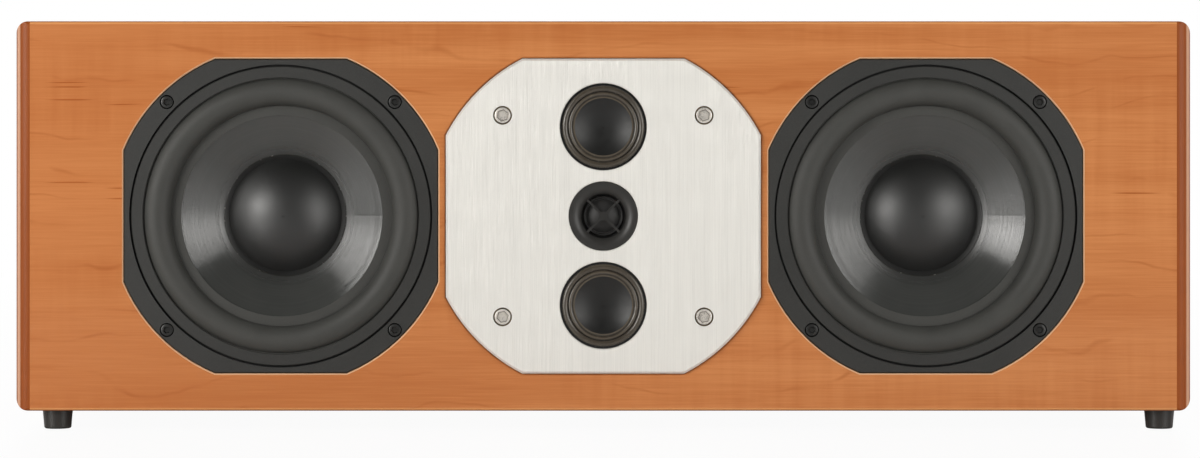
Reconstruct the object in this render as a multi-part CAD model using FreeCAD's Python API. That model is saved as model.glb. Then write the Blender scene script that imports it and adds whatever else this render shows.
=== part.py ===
"""Three-way loudspeaker for the left, centre or right channel of a home cinema.

A wooden cabinet lies lengthwise on four rubber feet. Two woofers stand on either side of a
brushed metal plate that carries two concave-dome midranges and a small dome tweeter.
Sizes are in millimetres. +Z is up, the front faces -Y, +X is to the right as seen from the
front, and the origin is on the floor under the middle of the loudspeaker.
"""
import FreeCAD
import Part
import math
import os

# Cabinet
cabinet_width = 677.0
cabinet_height = 224.0
cabinet_depth = 286.0
panel_thickness = 19.0
baffle_thickness = 25.0
corner_strip_width = 9.0
corner_strip_radius = 8.4
long_edge_radius = 8.4
baffle_edge_radius = 2.0

# Rubber feet
foot_height = 11.0
foot_top_radius = 8.7
foot_tip_radius = 7.8
foot_edge = 1.2
foot_peg_radius = 3.0
foot_peg_length = 10.0
foot_inset_left = 22.6
foot_inset_right = 16.5
foot_setback = 15.0

# Fits shared by mating pieces
rebate_gap = 0.5
rebate_ease = 0.7
pin_fit = 0.1
glue_line = 0.1
coil_gap = 0.6
lay_gap = 0.2

# Woofer flange and trim
flange_spacing = 4.95
flange_rim = 3.0
flange_margin = 11.6
flange_thickness = 6.0
flange_ease = 0.5
gasket_thickness = 1.0
trim_outer_radius = 86.0
trim_width = 6.7
trim_thickness = 2.0
trim_ease = 0.4
trim_groove = 1.0
trim_sink = 0.3

# Woofer basket
basket_seat_width = 4.9
basket_collar = 3.0
basket_wall = 3.5
basket_clearance = 1.0
basket_windows = 6
basket_window_width = 36.0
basket_window_margin = 5.0
terminal_tab_width = 14.0
terminal_tab_reach = 9.0
terminal_tab_depth = 8.0

# Woofer moving parts
surround_thickness = 0.8
roll_edge = 0.4
roll_width = 15.4
roll_height = 4.6
cone_lip = 5.5
cone_rim_width = 5.0
cone_rim_depth = 6.6
cone_slope = 0.885
cone_thickness = 0.9
cap_radius = 32.7
cap_rim_width = 2.6
cap_height = 14.5
cap_thickness = 0.8
former_radius = 16.0
former_wall = 0.4
former_stub = 2.0
winding_thickness = 0.5
winding_length = 12.0
spider_drop = 4.0
spider_radius = 51.0
spider_rim = 4.0
spider_collar = 3.5
spider_thickness = 0.6
spider_wave_height = 1.6
spider_waves = 5

# Woofer motor
spider_room = 10.0
motor_seat_thickness = 4.0
motor_seat_bore = 22.0
top_plate_radius = 45.0
top_plate_thickness = 6.0
magnet_radius = 48.0
magnet_bore = 24.0
magnet_thickness = 18.0
yoke_radius = 45.0
yoke_thickness = 6.0
pole_lead = 1.0
pole_vent_radius = 4.0

# Woofer screws
woofer_screw_margin = 5.631
woofer_screw_head_radius = 3.6
woofer_screw_head_height = 4.0
woofer_screw_socket = 3.0
woofer_screw_radius = 2.0
woofer_screw_length = 18.0
woofer_screw_bore_gap = 0.5
screw_sink = 0.4
screw_head_ease = 0.3
screw_tip = 1.5
screw_socket_depth = 2.2

# Metal plate
plate_flats = 180.7
plate_round_radius = 101.6
plate_thickness = 6.0
plate_proud = 3.0
plate_ease = 1.2
plate_hole_ease = 0.4
driver_rebate = 3.0
plate_screw_offset = 57.8
plate_screw_head_radius = 4.7
plate_screw_head_height = 3.4
plate_screw_socket = 4.8
plate_screw_radius = 3.0
plate_screw_length = 20.0
plate_screw_bore_gap = 0.7

# Midranges
mid_offset = 51.25
mid_hole_radius = 25.0
mid_flange_radius = 29.3
mid_wall_radius = 25.4
mid_bore_radius = 22.4
mid_edge_gap = 0.4
mid_edge_width = 1.3
mid_roll_width = 3.8
mid_roll_height = 1.9
mid_ripple_width = 1.8
mid_ripple_height = 0.8
mid_surround_thickness = 0.5
mid_dome_radius = 16.5
mid_dome_rim = 1.1
mid_dome_depth = 4.1
mid_dome_thickness = 0.6
mid_coil_wall = 0.8
mid_coil_length = 10.0
mid_coil_inset = 0.3
mid_motor_drop = 6.0
mid_motor_wall = 1.6
mid_motor_length = 18.0
mid_motor_base = 4.0
mid_pole_drop = 1.0
mid_pole_tip = 3.0
mid_pole_neck = 2.0
mid_motor_grip = 6.0

# Tweeter
tweeter_hole_radius = 19.9
tweeter_shoulder = 1.2
tweeter_face_sink = 0.2
tweeter_face_edge = 0.5
tweeter_mouth_land = 0.6
tweeter_throat_radius = 11.8
tweeter_bell = 0.6
tweeter_bell_depth = 4.0
tweeter_face_depth = 8.5
guard_spokes = 4
guard_spoke_width = 1.3
guard_thickness = 1.2
guard_depth = 2.8
guard_hub_radius = 2.6
tweeter_surround_thickness = 0.4
tweeter_surround_rim = 2.5
tweeter_roll_height = 0.8
tweeter_dome_radius = 9.6
tweeter_dome_height = 3.3
tweeter_dome_thickness = 0.4
tweeter_coil_wall = 0.6
tweeter_coil_length = 4.0
tweeter_motor_radius = 19.4
tweeter_motor_length = 15.0
tweeter_plate_thickness = 3.5
tweeter_pole_drop = 1.2
tweeter_pole_neck = 1.5
tweeter_base = 4.0
tweeter_magnet_room = 2.0

# Opening in the baffle behind the plate, and the enclosure around it
slot_margin = 4.7
enclosure_margin = 2.0
enclosure_wall = 6.0
enclosure_depth = 70.0

# Terminal cup
cup_width = 104.0
cup_height = 76.0
cup_flange_thickness = 3.0
cup_corner_radius = 6.0
cup_height_on_back = 112.0
bowl_width = 80.0
bowl_height = 52.0
bowl_depth = 28.0
bowl_wall = 3.0
bowl_corner_radius = 8.0
cup_screw_inset = 6.0
cup_screw_head_radius = 3.4
cup_screw_head_height = 2.0
cup_screw_radius = 1.7
cup_screw_length = 16.0
cup_screw_slot_width = 1.0
cup_screw_slot_length = 3.6
cup_screw_slot_depth = 1.2

# Binding posts
post_spacing = 19.05
post_radius = 3.0
post_plug_radius = 2.0
post_plug_depth = 13.0
post_collar_radius = 5.6
post_collar_thickness = 2.0
post_wire_hole_radius = 1.2
post_wire_hole_rise = 2.4
post_nut_flats = 10.0
post_nut_thickness = 3.0
post_tail = 8.0
washer_thickness = 1.0
post_cap_radius = 5.6
post_cap_length = 15.0
post_cap_fit = 0.3
post_cap_grooves = 12
post_cap_groove_radius = 0.6
post_cap_plain = 2.0

# Crossover
board_length = 150.0
board_width = 90.0
board_thickness = 1.6
board_rise = 8.0
board_back_gap = 20.0
board_screw_inset = 7.0
board_screw_radius = 1.8
board_screw_length = 12.0
board_spacer_radius = 4.0
board_screw_head_radius = 3.4
board_screw_head_height = 2.4
coil_inner_radius = 8.0
coil_outer_radius = 18.0
coil_height = 16.0
coil_pitch = 42.0
coil_margin = 11.0
capacitor_radius = 7.5
capacitor_length = 46.0
capacitor_pitch = 20.0
capacitor_row = 28.0
capacitors = 4

# Lining and leads
lining_thickness = 12.0
lining_margin = 16.0
lead_radius = 1.8
lead_edge = 5.4
lead_pitch = 9.0
lead_bend_share = 0.45

# Positions that follow from the sizes above
overall_depth = plate_proud + cabinet_depth + cup_flange_thickness
front = plate_proud - overall_depth / 2
back = front + cabinet_depth
plate_front = front - plate_proud
baffle_back = front + baffle_thickness
inside_back = back - panel_thickness
bottom = foot_height
top = foot_height + cabinet_height
inside_bottom = bottom + panel_thickness
inside_top = top - panel_thickness
side = cabinet_width / 2
inside_side = side - panel_thickness
axis_height = bottom + cabinet_height / 2
cup_axis = bottom + cup_height_on_back

# Woofer sizes that follow from the ones above; depths run inwards from the baffle's front
recess_radius = trim_outer_radius + trim_groove
flange_flats = 2 * (recess_radius + flange_rim)
flange_round_radius = trim_outer_radius + flange_margin
woofer_offset = plate_flats / 2 + flange_spacing + flange_flats / 2
woofer_screw_offset = (recess_radius + woofer_screw_margin) * math.cos(math.pi / 4)
trim_inner_radius = trim_outer_radius - trim_width
surround_seat = trim_sink + trim_thickness
flange_recess = surround_seat + surround_thickness
roll_outer_radius = trim_inner_radius - roll_edge
roll_inner_radius = roll_outer_radius - roll_width
basket_bore_radius = roll_outer_radius - basket_seat_width
cone_radius = roll_inner_radius - cone_lip
neck_radius = former_radius + former_wall + glue_line
neck_depth = cone_rim_depth + (cone_radius - neck_radius) * cone_slope
spider_depth = neck_depth + spider_drop
motor_seat_depth = spider_depth + spider_room
top_plate_depth = motor_seat_depth + motor_seat_thickness
magnet_depth = top_plate_depth + top_plate_thickness
yoke_depth = magnet_depth + magnet_thickness
woofer_depth = yoke_depth + yoke_thickness
winding_middle = top_plate_depth + top_plate_thickness / 2
winding_radius = former_radius + former_wall + winding_thickness
ledge_radius = spider_radius - spider_rim
collar_radius = basket_bore_radius + basket_wall
baffle_hole_radius = collar_radius + basket_clearance
woofer_rebate_depth = flange_thickness + gasket_thickness
woofer_bore_radius = woofer_screw_head_radius + woofer_screw_bore_gap
woofer_bore_depth = woofer_screw_head_height + screw_sink

# Plate and driver sizes that follow; depths run inwards from the plate's front
plate_rebate_depth = plate_thickness + gasket_thickness - plate_proud
plate_bore_radius = plate_screw_head_radius + plate_screw_bore_gap
plate_bore_depth = plate_screw_head_height + screw_sink
driver_seat = plate_thickness - driver_rebate
mid_edge_radius = mid_hole_radius - mid_edge_gap
mid_roll_radius = mid_edge_radius - mid_edge_width
mid_valley_radius = mid_roll_radius - mid_roll_width
mid_lip_radius = mid_valley_radius - mid_ripple_width
mid_coil_radius = mid_dome_radius + mid_dome_rim / 2
mid_gap_outer = mid_coil_radius + coil_gap
mid_gap_inner = mid_coil_radius - mid_coil_wall - coil_gap
mid_motor_radius = mid_gap_outer + mid_motor_wall
mid_motor_front = driver_seat + mid_motor_drop
mid_motor_back = mid_motor_front + mid_motor_length
tweeter_face_radius = tweeter_hole_radius - lay_gap
tweeter_shoulder_radius = tweeter_hole_radius + tweeter_shoulder
tweeter_motor_front = tweeter_face_depth + tweeter_surround_thickness
tweeter_motor_back = tweeter_motor_front + tweeter_motor_length
tweeter_coil_radius = tweeter_dome_radius + tweeter_coil_wall / 2
slot_radius = mid_flange_radius + slot_margin
enclosure_half_width = slot_radius + enclosure_margin + enclosure_wall
enclosure_back = baffle_back + enclosure_depth

# Terminal cup, crossover and post positions that follow
cup_face = back + cup_flange_thickness
bowl_floor = cup_face - bowl_depth
bowl_back = bowl_floor - bowl_wall
post_seat = bowl_floor + post_collar_thickness
cap_seat = post_seat + washer_thickness
post_end = cap_seat + post_cap_length
board_middle_y = inside_back - lining_thickness - board_back_gap - board_width / 2
board_bottom = inside_bottom + board_rise
board_top = board_bottom + board_thickness
coil_row = coil_margin + coil_outer_radius - board_length / 2


def vec(x, y, z):
    return FreeCAD.Vector(x, y, z)


def block(x0, x1, y0, y1, z0, z1):
    """Rectangular block between two corners."""
    return Part.makeBox(x1 - x0, y1 - y0, z1 - z0, vec(x0, y0, z0))


def rod(radius, y0, y1, x=0.0, z=0.0):
    """Cylinder along Y."""
    return Part.makeCylinder(radius, y1 - y0, vec(x, y0, z), vec(0, 1, 0))


def tube(outer, inner, y0, y1, x=0.0, z=0.0):
    """Hollow cylinder along Y."""
    return rod(outer, y0, y1, x, z).cut(rod(inner, y0, y1, x, z))


def post(radius, z0, z1, x, y):
    """Cylinder along Z."""
    return Part.makeCylinder(radius, z1 - z0, vec(x, y, z0), vec(0, 0, 1))


def turned(outline, upright=False):
    """Solid turned about the Y axis, or about Z if upright.

    Each step is a point (radius, height) that a line runs to, or a pair of points, the middle
    and the end of an arc. The outline closes by itself.
    """
    def place(point):
        if upright:
            return vec(point[0], 0, point[1])
        return vec(point[0], point[1], 0)

    first = place(outline[0])
    here = first
    edges = []
    for step in outline[1:]:
        if isinstance(step[0], tuple):
            there = place(step[1])
            edges.append(Part.Arc(here, place(step[0]), there).toShape())
        else:
            there = place(step)
            edges.append(Part.LineSegment(here, there).toShape())
        here = there
    if here != first:
        edges.append(Part.LineSegment(here, first).toShape())
    axis =vec(0, 0, 1) if upright else vec(0, 1, 0)
    solid = Part.Face(Part.Wire(edges)).revolve(vec(0, 0, 0), axis, 360)
    if solid.Volume < 0:
        solid.reverse()
    return solid


def bowed(start, end, rise):
    """Middle point of an arc between two outline points that bows towards the front."""
    return ((start[0] + end[0]) / 2, (start[1] + end[1]) / 2 - rise)


def domed(edge_radius, edge, centre):
    """Point of a ball-shaped dome a little past half way out, between its edge and its centre."""
    sag = edge - centre
    ball = (edge_radius ** 2 + sag ** 2) / (2 * sag)
    radius = edge_radius / 2
    return (radius, centre + ball - math.copysign(math.sqrt(ball ** 2 - radius ** 2), ball))


def eased(solid, radius, along, front_only):
    """Block with its edges along one axis rounded, all four or the two at the front."""
    edges = []
    for edge in solid.Edges:
        if abs(edge.tangentAt(edge.FirstParameter).dot(along)) < 0.5:
            continue
        if not front_only or edge.BoundBox.YMax < solid.BoundBox.Center.y:
            edges.append(edge)
    return solid.makeFillet(radius, edges)


def cut_disc(flats, round_radius, y0, y1):
    """Disc with four flats, the outline of a driver's flange."""
    half = flats / 2
    return block(-half, half, y0, y1, -half, half).common(rod(round_radius, y0, y1))


def sloped_disc(flats, round_radius, y0, y1, spread):
    """Disc with four flats whose outline is larger by spread at y0 than at y1."""
    def square(half, y):
        corners = [vec(-half, y, -half), vec(half, y, -half), vec(half, y, half), vec(-half, y, half)]
        return Part.makePolygon(corners + corners[:1])

    pyramid = Part.makeLoft([square(flats / 2 + spread, y0), square(flats / 2, y1)], True, True)
    cone = Part.makeCone(round_radius + spread, round_radius, y1 - y0, vec(0, y0, 0), vec(0, 1, 0))
    return pyramid.common(cone)


def eased_disc(flats, round_radius, thickness, ease):
    """Disc with four flats and a chamfered front edge."""
    rim = sloped_disc(flats, round_radius, 0, ease, -ease)
    return cut_disc(flats, round_radius, ease, thickness).fuse(rim).removeSplitter()


def rebate(flats, round_radius, depth):
    """Room for a flange in the baffle, with clearance and an eased front edge."""
    flats = flats + 2 * rebate_gap
    round_radius = round_radius + rebate_gap
    return cut_disc(flats, round_radius, 0, depth).fuse(
        sloped_disc(flats, round_radius, 0, rebate_ease, rebate_ease))


def hexagon(flats, y0, y1, x=0.0, z=0.0):
    """Six-sided prism along Y."""
    reach = flats / math.sqrt(3)
    corners = []
    for index in range(7):
        angle = math.radians(60 * index)
        corners.append(vec(x + reach * math.cos(angle), y0, z + reach * math.sin(angle)))
    return Part.Face(Part.makePolygon(corners)).extrude(vec(0, y1 - y0, 0))


def four_corners(offset, other=None):
    """The four points at plus and minus an offset in X and Z."""
    other = offset if other is None else other
    return [(sx * offset, sz * other) for sx in (-1, 1) for sz in (-1, 1)]


def socket_screw(head_radius, head_height, socket, radius, length):
    """Socket-head screw along Y with the top of its head at zero."""
    end = head_height + length
    body = turned([
        (0, 0),
        (head_radius - screw_head_ease, 0),
        (head_radius, screw_head_ease),
        (head_radius, head_height),
        (radius, head_height),
        (radius, end - screw_tip),
        (radius - screw_tip / 2, end),
        (0, end),
    ])
    return body.cut(hexagon(socket, 0, screw_socket_depth))


def lead(points):
    """Round lead along straight runs joined by tangent arcs."""
    corners = [vec(*point) for point in points]
    here = corners[0]
    edges = []
    for before, corner, after in zip(corners, corners[1:], corners[2:]):
        backward = before - corner
        forward = after - corner
        reach = lead_bend_share * min(backward.Length, forward.Length)
        backward.normalize()
        forward.normalize()
        half_turn = (math.pi - backward.getAngle(forward)) / 2
        radius = reach / math.tan(half_turn)
        inward = backward + forward
        inward.normalize()
        leave = corner + backward * reach
        arrive = corner + forward * reach
        middle = corner + inward * (math.hypot(reach, radius) - radius)
        edges.append(Part.LineSegment(here, leave).toShape())
        edges.append(Part.Arc(leave, middle, arrive).toShape())
        here = arrive
    edges.append(Part.LineSegment(here, corners[-1]).toShape())
    circle = Part.Circle(corners[0], corners[1] - corners[0], lead_radius).toShape()
    solid = Part.Wire(edges).makePipeShell([Part.Wire([circle])], True, True)
    return Part.Solid(solid) if solid.ShapeType != "Solid" else solid


def cabinet_body():
    """Outer shape of the cabinet with its rounded edges."""
    whole = block(-side, side, front, back, bottom, top)
    along = eased(whole, long_edge_radius, vec(0, 1, 0), False)
    upright = eased(whole, corner_strip_radius, vec(0, 0, 1), True)
    across = eased(whole, baffle_edge_radius, vec(1, 0, 0), True)
    return along.common(upright).common(across)


def baffle_slot():
    """Upright opening behind the metal plate."""
    y0, y1 = front, baffle_back
    ends = [rod(slot_radius, y0, y1, 0, axis_height + sz * mid_offset) for sz in (-1, 1)]
    middle = block(-slot_radius, slot_radius, y0, y1, axis_height - mid_offset, axis_height + mid_offset)
    return middle.fuse(ends).removeSplitter()


def woofer_place(x):
    return vec(x, front, axis_height)


def baffle(body):
    """Front panel with a rebate and a hole for each driver."""
    half = side - corner_strip_width
    panel = body.common(block(-half, half, front, baffle_back, bottom, top))
    tools = [baffle_slot()]
    plate_room = rebate(plate_flats, plate_round_radius, plate_rebate_depth)
    tools.append(plate_room.translated(vec(0, front, axis_height)))
    for x, z in four_corners(plate_screw_offset):
        deep = plate_front + screw_sink + plate_screw_head_height + plate_screw_length
        tools.append(rod(plate_screw_radius + pin_fit, front, deep, x, axis_height + z))
    for x0 in (-woofer_offset, woofer_offset):
        room = rebate(flange_flats, flange_round_radius, woofer_rebate_depth)
        tools.append(room.translated(woofer_place(x0)))
        tools.append(rod(baffle_hole_radius, front, baffle_back, x0, axis_height))
        for x, z in four_corners(woofer_screw_offset):
            deep = front + woofer_bore_depth + woofer_screw_length
            tools.append(rod(woofer_screw_radius + pin_fit, front, deep, x0 + x, axis_height + z))
    return drilled_for_feet(panel.cut(tools))


def corner_strip(body, sign):
    """Rounded solid-wood strip at one end of the baffle."""
    ends = sorted((sign * (side - corner_strip_width), sign * side))
    return body.common(block(ends[0], ends[1], front, baffle_back, bottom, top))


def side_panel(body, sign):
    ends = sorted((sign * inside_side, sign * side))
    return drilled_for_feet(body.common(block(ends[0], ends[1], baffle_back, back, bottom, top)))


def foot_places():
    """Middle of each foot in X and Y."""
    xs = (foot_inset_left - side, side - foot_inset_right)
    ys = (front + foot_setback, back - foot_setback)
    return [(x, y) for x in xs for y in ys]


def bottom_panel(body):
    panel = body.common(block(-inside_side, inside_side, baffle_back, back, bottom, inside_bottom))
    radius = board_screw_radius + pin_fit
    deep = inside_bottom - board_screw_length
    pilots = [post(radius, deep, inside_bottom, x, y) for x, y in board_screw_places()]
    return drilled_for_feet(panel.cut(pilots))


def drilled_for_feet(panel):
    """Panel with a hole for each foot's peg that meets it."""
    radius = foot_peg_radius + pin_fit
    return panel.cut([post(radius, bottom, bottom + foot_peg_length, x, y) for x, y in foot_places()])


def foot(x, y):
    """Tapered rubber foot with a peg that pushes into the cabinet."""
    shape = turned([
        (0, 0),
        (foot_tip_radius - foot_edge, 0),
        ((foot_tip_radius - foot_edge * (1 - math.sqrt(0.5)), foot_edge * (1 - math.sqrt(0.5))),
         (foot_tip_radius, foot_edge)),
        (foot_top_radius, foot_height),
        (foot_peg_radius, foot_height),
        (foot_peg_radius, foot_height + foot_peg_length - lay_gap),
        (0, foot_height + foot_peg_length - lay_gap),
    ], upright=True)
    return shape.translated(vec(x, y, 0))


def rear_panel(body):
    """Back panel let in between the others, with the opening for the terminal cup."""
    panel = body.common(block(-inside_side, inside_side, inside_back, back, inside_bottom, inside_top))
    half_width = bowl_width / 2 + bowl_wall + rebate_gap
    half_height = bowl_height / 2 + bowl_wall + rebate_gap
    hole = block(-half_width, half_width, inside_back, back, cup_axis - half_height, cup_axis + half_height)
    deep = cup_face - cup_screw_length
    pilots = [rod(cup_screw_radius + pin_fit, deep, back, x, cup_axis + z) for x, z in cup_screw_places()]
    return panel.cut([hole] + pilots)


def mid_enclosure():
    """Trough that closes off the space behind the plate, between the bottom and top panels."""
    half = enclosure_half_width
    outer = block(-half, half, baffle_back, enclosure_back, inside_bottom, inside_top)
    inner_half = half - enclosure_wall
    inner = block(-inner_half, inner_half, baffle_back, enclosure_back - enclosure_wall,
                  inside_bottom, inside_top)
    return outer.cut(inner)


def woofer_basket():
    """Cast frame: a flange with four flats, a windowed skirt and a seat for the motor."""
    flange = eased_disc(flange_flats, flange_round_radius, flange_thickness, flange_ease)
    flange = flange.cut([
        rod(recess_radius, 0, flange_recess),
        rod(basket_bore_radius, 0, flange_thickness),
    ])
    skirt_start = flange_thickness + basket_collar
    ledge_wall = spider_radius + lay_gap
    skirt = turned([
        (basket_bore_radius, flange_thickness),
        (basket_bore_radius, skirt_start),
        (ledge_wall, spider_depth),
        (ledge_radius, spider_depth),
        (ledge_radius, motor_seat_depth),
        (motor_seat_bore, motor_seat_depth),
        (motor_seat_bore, top_plate_depth),
        (ledge_radius + basket_wall, top_plate_depth),
        (ledge_wall + basket_wall, spider_depth + basket_wall),
        (collar_radius, skirt_start),
        (collar_radius, flange_thickness),
    ])
    windows = []
    for index in range(basket_windows):
        half = basket_window_width / 2
        window = block(ledge_radius, collar_radius + basket_wall,
                       skirt_start + basket_window_margin, spider_depth - basket_window_margin, -half, half)
        angle = 360.0 * (index + 0.5) / basket_windows
        windows.append(window.rotated(vec(0, 0, 0), vec(0, 1, 0), angle))
    tab_half = terminal_tab_width / 2
    tab_end = ledge_wall + basket_wall + terminal_tab_reach
    tab = block(-tab_half, tab_half, top_plate_depth - terminal_tab_depth, top_plate_depth,
                -tab_end, -ledge_radius - basket_wall / 2)
    screw_holes = []
    for x, z in four_corners(woofer_screw_offset):
        screw_holes.append(rod(woofer_bore_radius, 0, woofer_bore_depth, x, z))
        screw_holes.append(rod(woofer_screw_radius + pin_fit, 0, flange_thickness, x, z))
    return flange.fuse([skirt.cut(windows), tab]).cut(screw_holes).removeSplitter()


def woofer_gasket():
    """Thin seal behind the woofer's flange."""
    sheet = cut_disc(flange_flats, flange_round_radius, flange_thickness, woofer_rebate_depth)
    holes = [rod(baffle_hole_radius, flange_thickness, woofer_rebate_depth)]
    for x, z in four_corners(woofer_screw_offset):
        holes.append(rod(woofer_screw_radius + pin_fit, flange_thickness, woofer_rebate_depth, x, z))
    return sheet.cut(holes)


def woofer_trim_ring():
    """Ring that clamps the edge of the surround."""
    return turned([
        (trim_inner_radius, trim_sink + trim_ease),
        (trim_inner_radius + trim_ease, trim_sink),
        (trim_outer_radius - trim_ease, trim_sink),
        (trim_outer_radius, trim_sink + trim_ease),
        (trim_outer_radius, surround_seat),
        (trim_inner_radius, surround_seat),
    ])


def woofer_surround():
    """Half-roll of rubber between the clamped edge and the rim of the cone."""
    lip = cone_rim_depth - surround_thickness
    outer_front = (roll_outer_radius, surround_seat)
    inner_front = (roll_inner_radius, lip)
    outer_back = (roll_outer_radius - surround_thickness, flange_recess)
    inner_back = (roll_inner_radius + surround_thickness, cone_rim_depth)
    crest = ((roll_outer_radius + roll_inner_radius) / 2, surround_seat - roll_height)
    under_crest = (crest[0], crest[1] + surround_thickness)
    return turned([
        (trim_outer_radius, surround_seat),
        outer_front,
        (crest, inner_front),
        (cone_radius, lip),
        (cone_radius, cone_rim_depth),
        inner_back,
        (under_crest, outer_back),
        (trim_outer_radius, flange_recess),
    ])


def cone_front(radius):
    """Depth of the cone's front face at a radius."""
    return cone_rim_depth + (cone_radius - radius) * cone_slope


def woofer_cone():
    """Straight-sided cone with a flat rim under the surround's lip."""
    rise = cone_thickness * math.hypot(1, cone_slope)
    rim_radius = cone_radius + cone_rim_width
    return turned([
        (rim_radius, cone_rim_depth),
        (cone_radius, cone_rim_depth),
        (neck_radius, neck_depth),
        (neck_radius, neck_depth + rise),
        (cone_radius, cone_rim_depth + rise),
        (rim_radius, cone_rim_depth + rise),
    ])


def woofer_dust_cap():
    """Convex cap with a narrow rim glued to the cone."""
    rim_radius = cap_radius + cap_rim_width
    inner_radius = cap_radius - cap_thickness
    step = glue_line + cap_thickness
    edge = cone_front(cap_radius) - step
    crest = edge - cap_height
    return turned([
        (0, crest),
        (domed(cap_radius, edge, crest), (cap_radius, edge)),
        (rim_radius, cone_front(rim_radius) - step),
        (rim_radius, cone_front(rim_radius) - glue_line),
        (inner_radius, cone_front(inner_radius) - glue_line),
        (domed(inner_radius, cone_front(inner_radius) - glue_line, crest + cap_thickness),
         (0, crest + cap_thickness)),
    ])


def woofer_voice_coil():
    """Former with its copper winding in the magnet's gap."""
    outer = former_radius + former_wall
    wind_start = winding_middle - winding_length / 2
    wind_end = winding_middle + winding_length / 2
    return turned([
        (former_radius, neck_depth - former_stub),
        (outer, neck_depth - former_stub),
        (outer, wind_start),
        (winding_radius, wind_start),
        (winding_radius, wind_end),
        (former_radius, wind_end),
    ])


def woofer_spider():
    """Corrugated disc that centres the voice coil."""
    start = neck_radius + spider_collar
    pitch = (ledge_radius - start) / spider_waves
    seat = spider_depth
    shell = spider_thickness
    outline = [(neck_radius, seat - shell), (start, seat - shell)]
    for index in range(spider_waves):
        rise = spider_wave_height if index % 2 == 0 else -spider_wave_height
        here = start + index * pitch
        outline.append((bowed((here, seat - shell), (here + pitch, seat - shell), rise),
                        (here + pitch, seat - shell)))
    outline += [(spider_radius, seat - shell), (spider_radius, seat), (ledge_radius, seat)]
    for index in reversed(range(spider_waves)):
        rise = spider_wave_height if index % 2 == 0 else -spider_wave_height
        here = start + index * pitch
        outline.append((bowed((here + pitch, seat), (here, seat), rise), (here, seat)))
    outline.append((neck_radius, seat))
    return turned(outline)


def woofer_top_plate():
    return tube(top_plate_radius, winding_radius + coil_gap, top_plate_depth, magnet_depth)


def woofer_magnet():
    return tube(magnet_radius, magnet_bore, magnet_depth, yoke_depth)


def woofer_yoke():
    """Back plate with a vented pole that reaches into the coil."""
    pole_radius = former_radius - coil_gap
    plate = rod(yoke_radius, yoke_depth, woofer_depth)
    pole = rod(pole_radius, top_plate_depth - pole_lead, yoke_depth)
    vent = rod(pole_vent_radius, top_plate_depth - pole_lead, woofer_depth)
    return plate.fuse(pole).cut(vent).removeSplitter()


def woofer_screws():
    screw = socket_screw(woofer_screw_head_radius, woofer_screw_head_height, woofer_screw_socket,
                         woofer_screw_radius, woofer_screw_length)
    solids = []
    for x0 in (-woofer_offset, woofer_offset):
        for x, z in four_corners(woofer_screw_offset):
            solids.append(screw.translated(vec(x0 + x, front + screw_sink, axis_height + z)))
    return Part.makeCompound(solids)


def mid_places():
    """Heights of the lower and the upper midrange above the plate's middle."""
    return (-mid_offset, mid_offset)


def driver_plate():
    """Brushed metal plate with holes for two midranges, the tweeter and four screws."""
    plate = eased_disc(plate_flats, plate_round_radius, plate_thickness, plate_ease)
    holes = []
    drivers = [(mid_hole_radius, mid_flange_radius, z) for z in mid_places()]
    drivers.append((tweeter_hole_radius, tweeter_shoulder_radius, 0))
    for hole, flange, z in drivers:
        holes.append(rod(hole, 0, plate_thickness, 0, z))
        holes.append(rod(flange + lay_gap, driver_seat, plate_thickness, 0, z))
        holes.append(Part.makeCone(hole + plate_hole_ease, hole, plate_hole_ease, vec(0, 0, z), vec(0, 1, 0)))
    for x, z in four_corners(plate_screw_offset):
        holes.append(rod(plate_bore_radius, 0, plate_bore_depth, x, z))
        holes.append(rod(plate_screw_radius + pin_fit, 0, plate_thickness, x, z))
    return plate.cut(holes).translated(vec(0, plate_front, axis_height))


def plate_gasket():
    """Thin seal behind the metal plate."""
    y0 = plate_front + plate_thickness
    sheet = cut_disc(plate_flats, plate_round_radius, 0, gasket_thickness)
    sheet = sheet.translated(vec(0, y0, axis_height))
    holes = [baffle_slot()]
    for x, z in four_corners(plate_screw_offset):
        holes.append(rod(plate_screw_radius + pin_fit, y0, y0 + gasket_thickness, x, axis_height + z))
    return sheet.cut(holes)


def plate_screws():
    screw = socket_screw(plate_screw_head_radius, plate_screw_head_height, plate_screw_socket,
                         plate_screw_radius, plate_screw_length)
    y = plate_front + screw_sink
    return Part.makeCompound([
        screw.translated(vec(x, y, axis_height + z)) for x, z in four_corners(plate_screw_offset)
    ])


def mid_frame():
    """Ring that seats in the back of the plate and grips the motor."""
    return turned([
        (mid_bore_radius, driver_seat),
        (mid_flange_radius, driver_seat),
        (mid_flange_radius, plate_thickness),
        (mid_wall_radius, plate_thickness),
        (mid_wall_radius, mid_motor_front + mid_motor_grip),
        (mid_motor_radius + glue_line, mid_motor_front + mid_motor_grip),
        (mid_motor_radius + glue_line, mid_motor_front),
        (mid_bore_radius, mid_motor_front),
    ])


def mid_surround():
    """Narrow surround with a large and a small roll."""
    seat = driver_seat
    face = seat - mid_surround_thickness
    edge = (mid_roll_radius, face)
    valley = (mid_valley_radius, face)
    lip = (mid_lip_radius, face)
    edge_back = (mid_roll_radius, seat)
    valley_back = (mid_valley_radius, seat)
    lip_back = (mid_lip_radius, seat)
    return turned([
        (mid_edge_radius, face),
        edge,
        (bowed(edge, valley, mid_roll_height), valley),
        (bowed(valley, lip, mid_ripple_height), lip),
        (mid_dome_radius, face),
        (mid_dome_radius, seat),
        lip_back,
        (bowed(lip_back, valley_back, mid_ripple_height), valley_back),
        (bowed(valley_back, edge_back, mid_roll_height), edge_back),
        (mid_edge_radius, seat),
    ])


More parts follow.
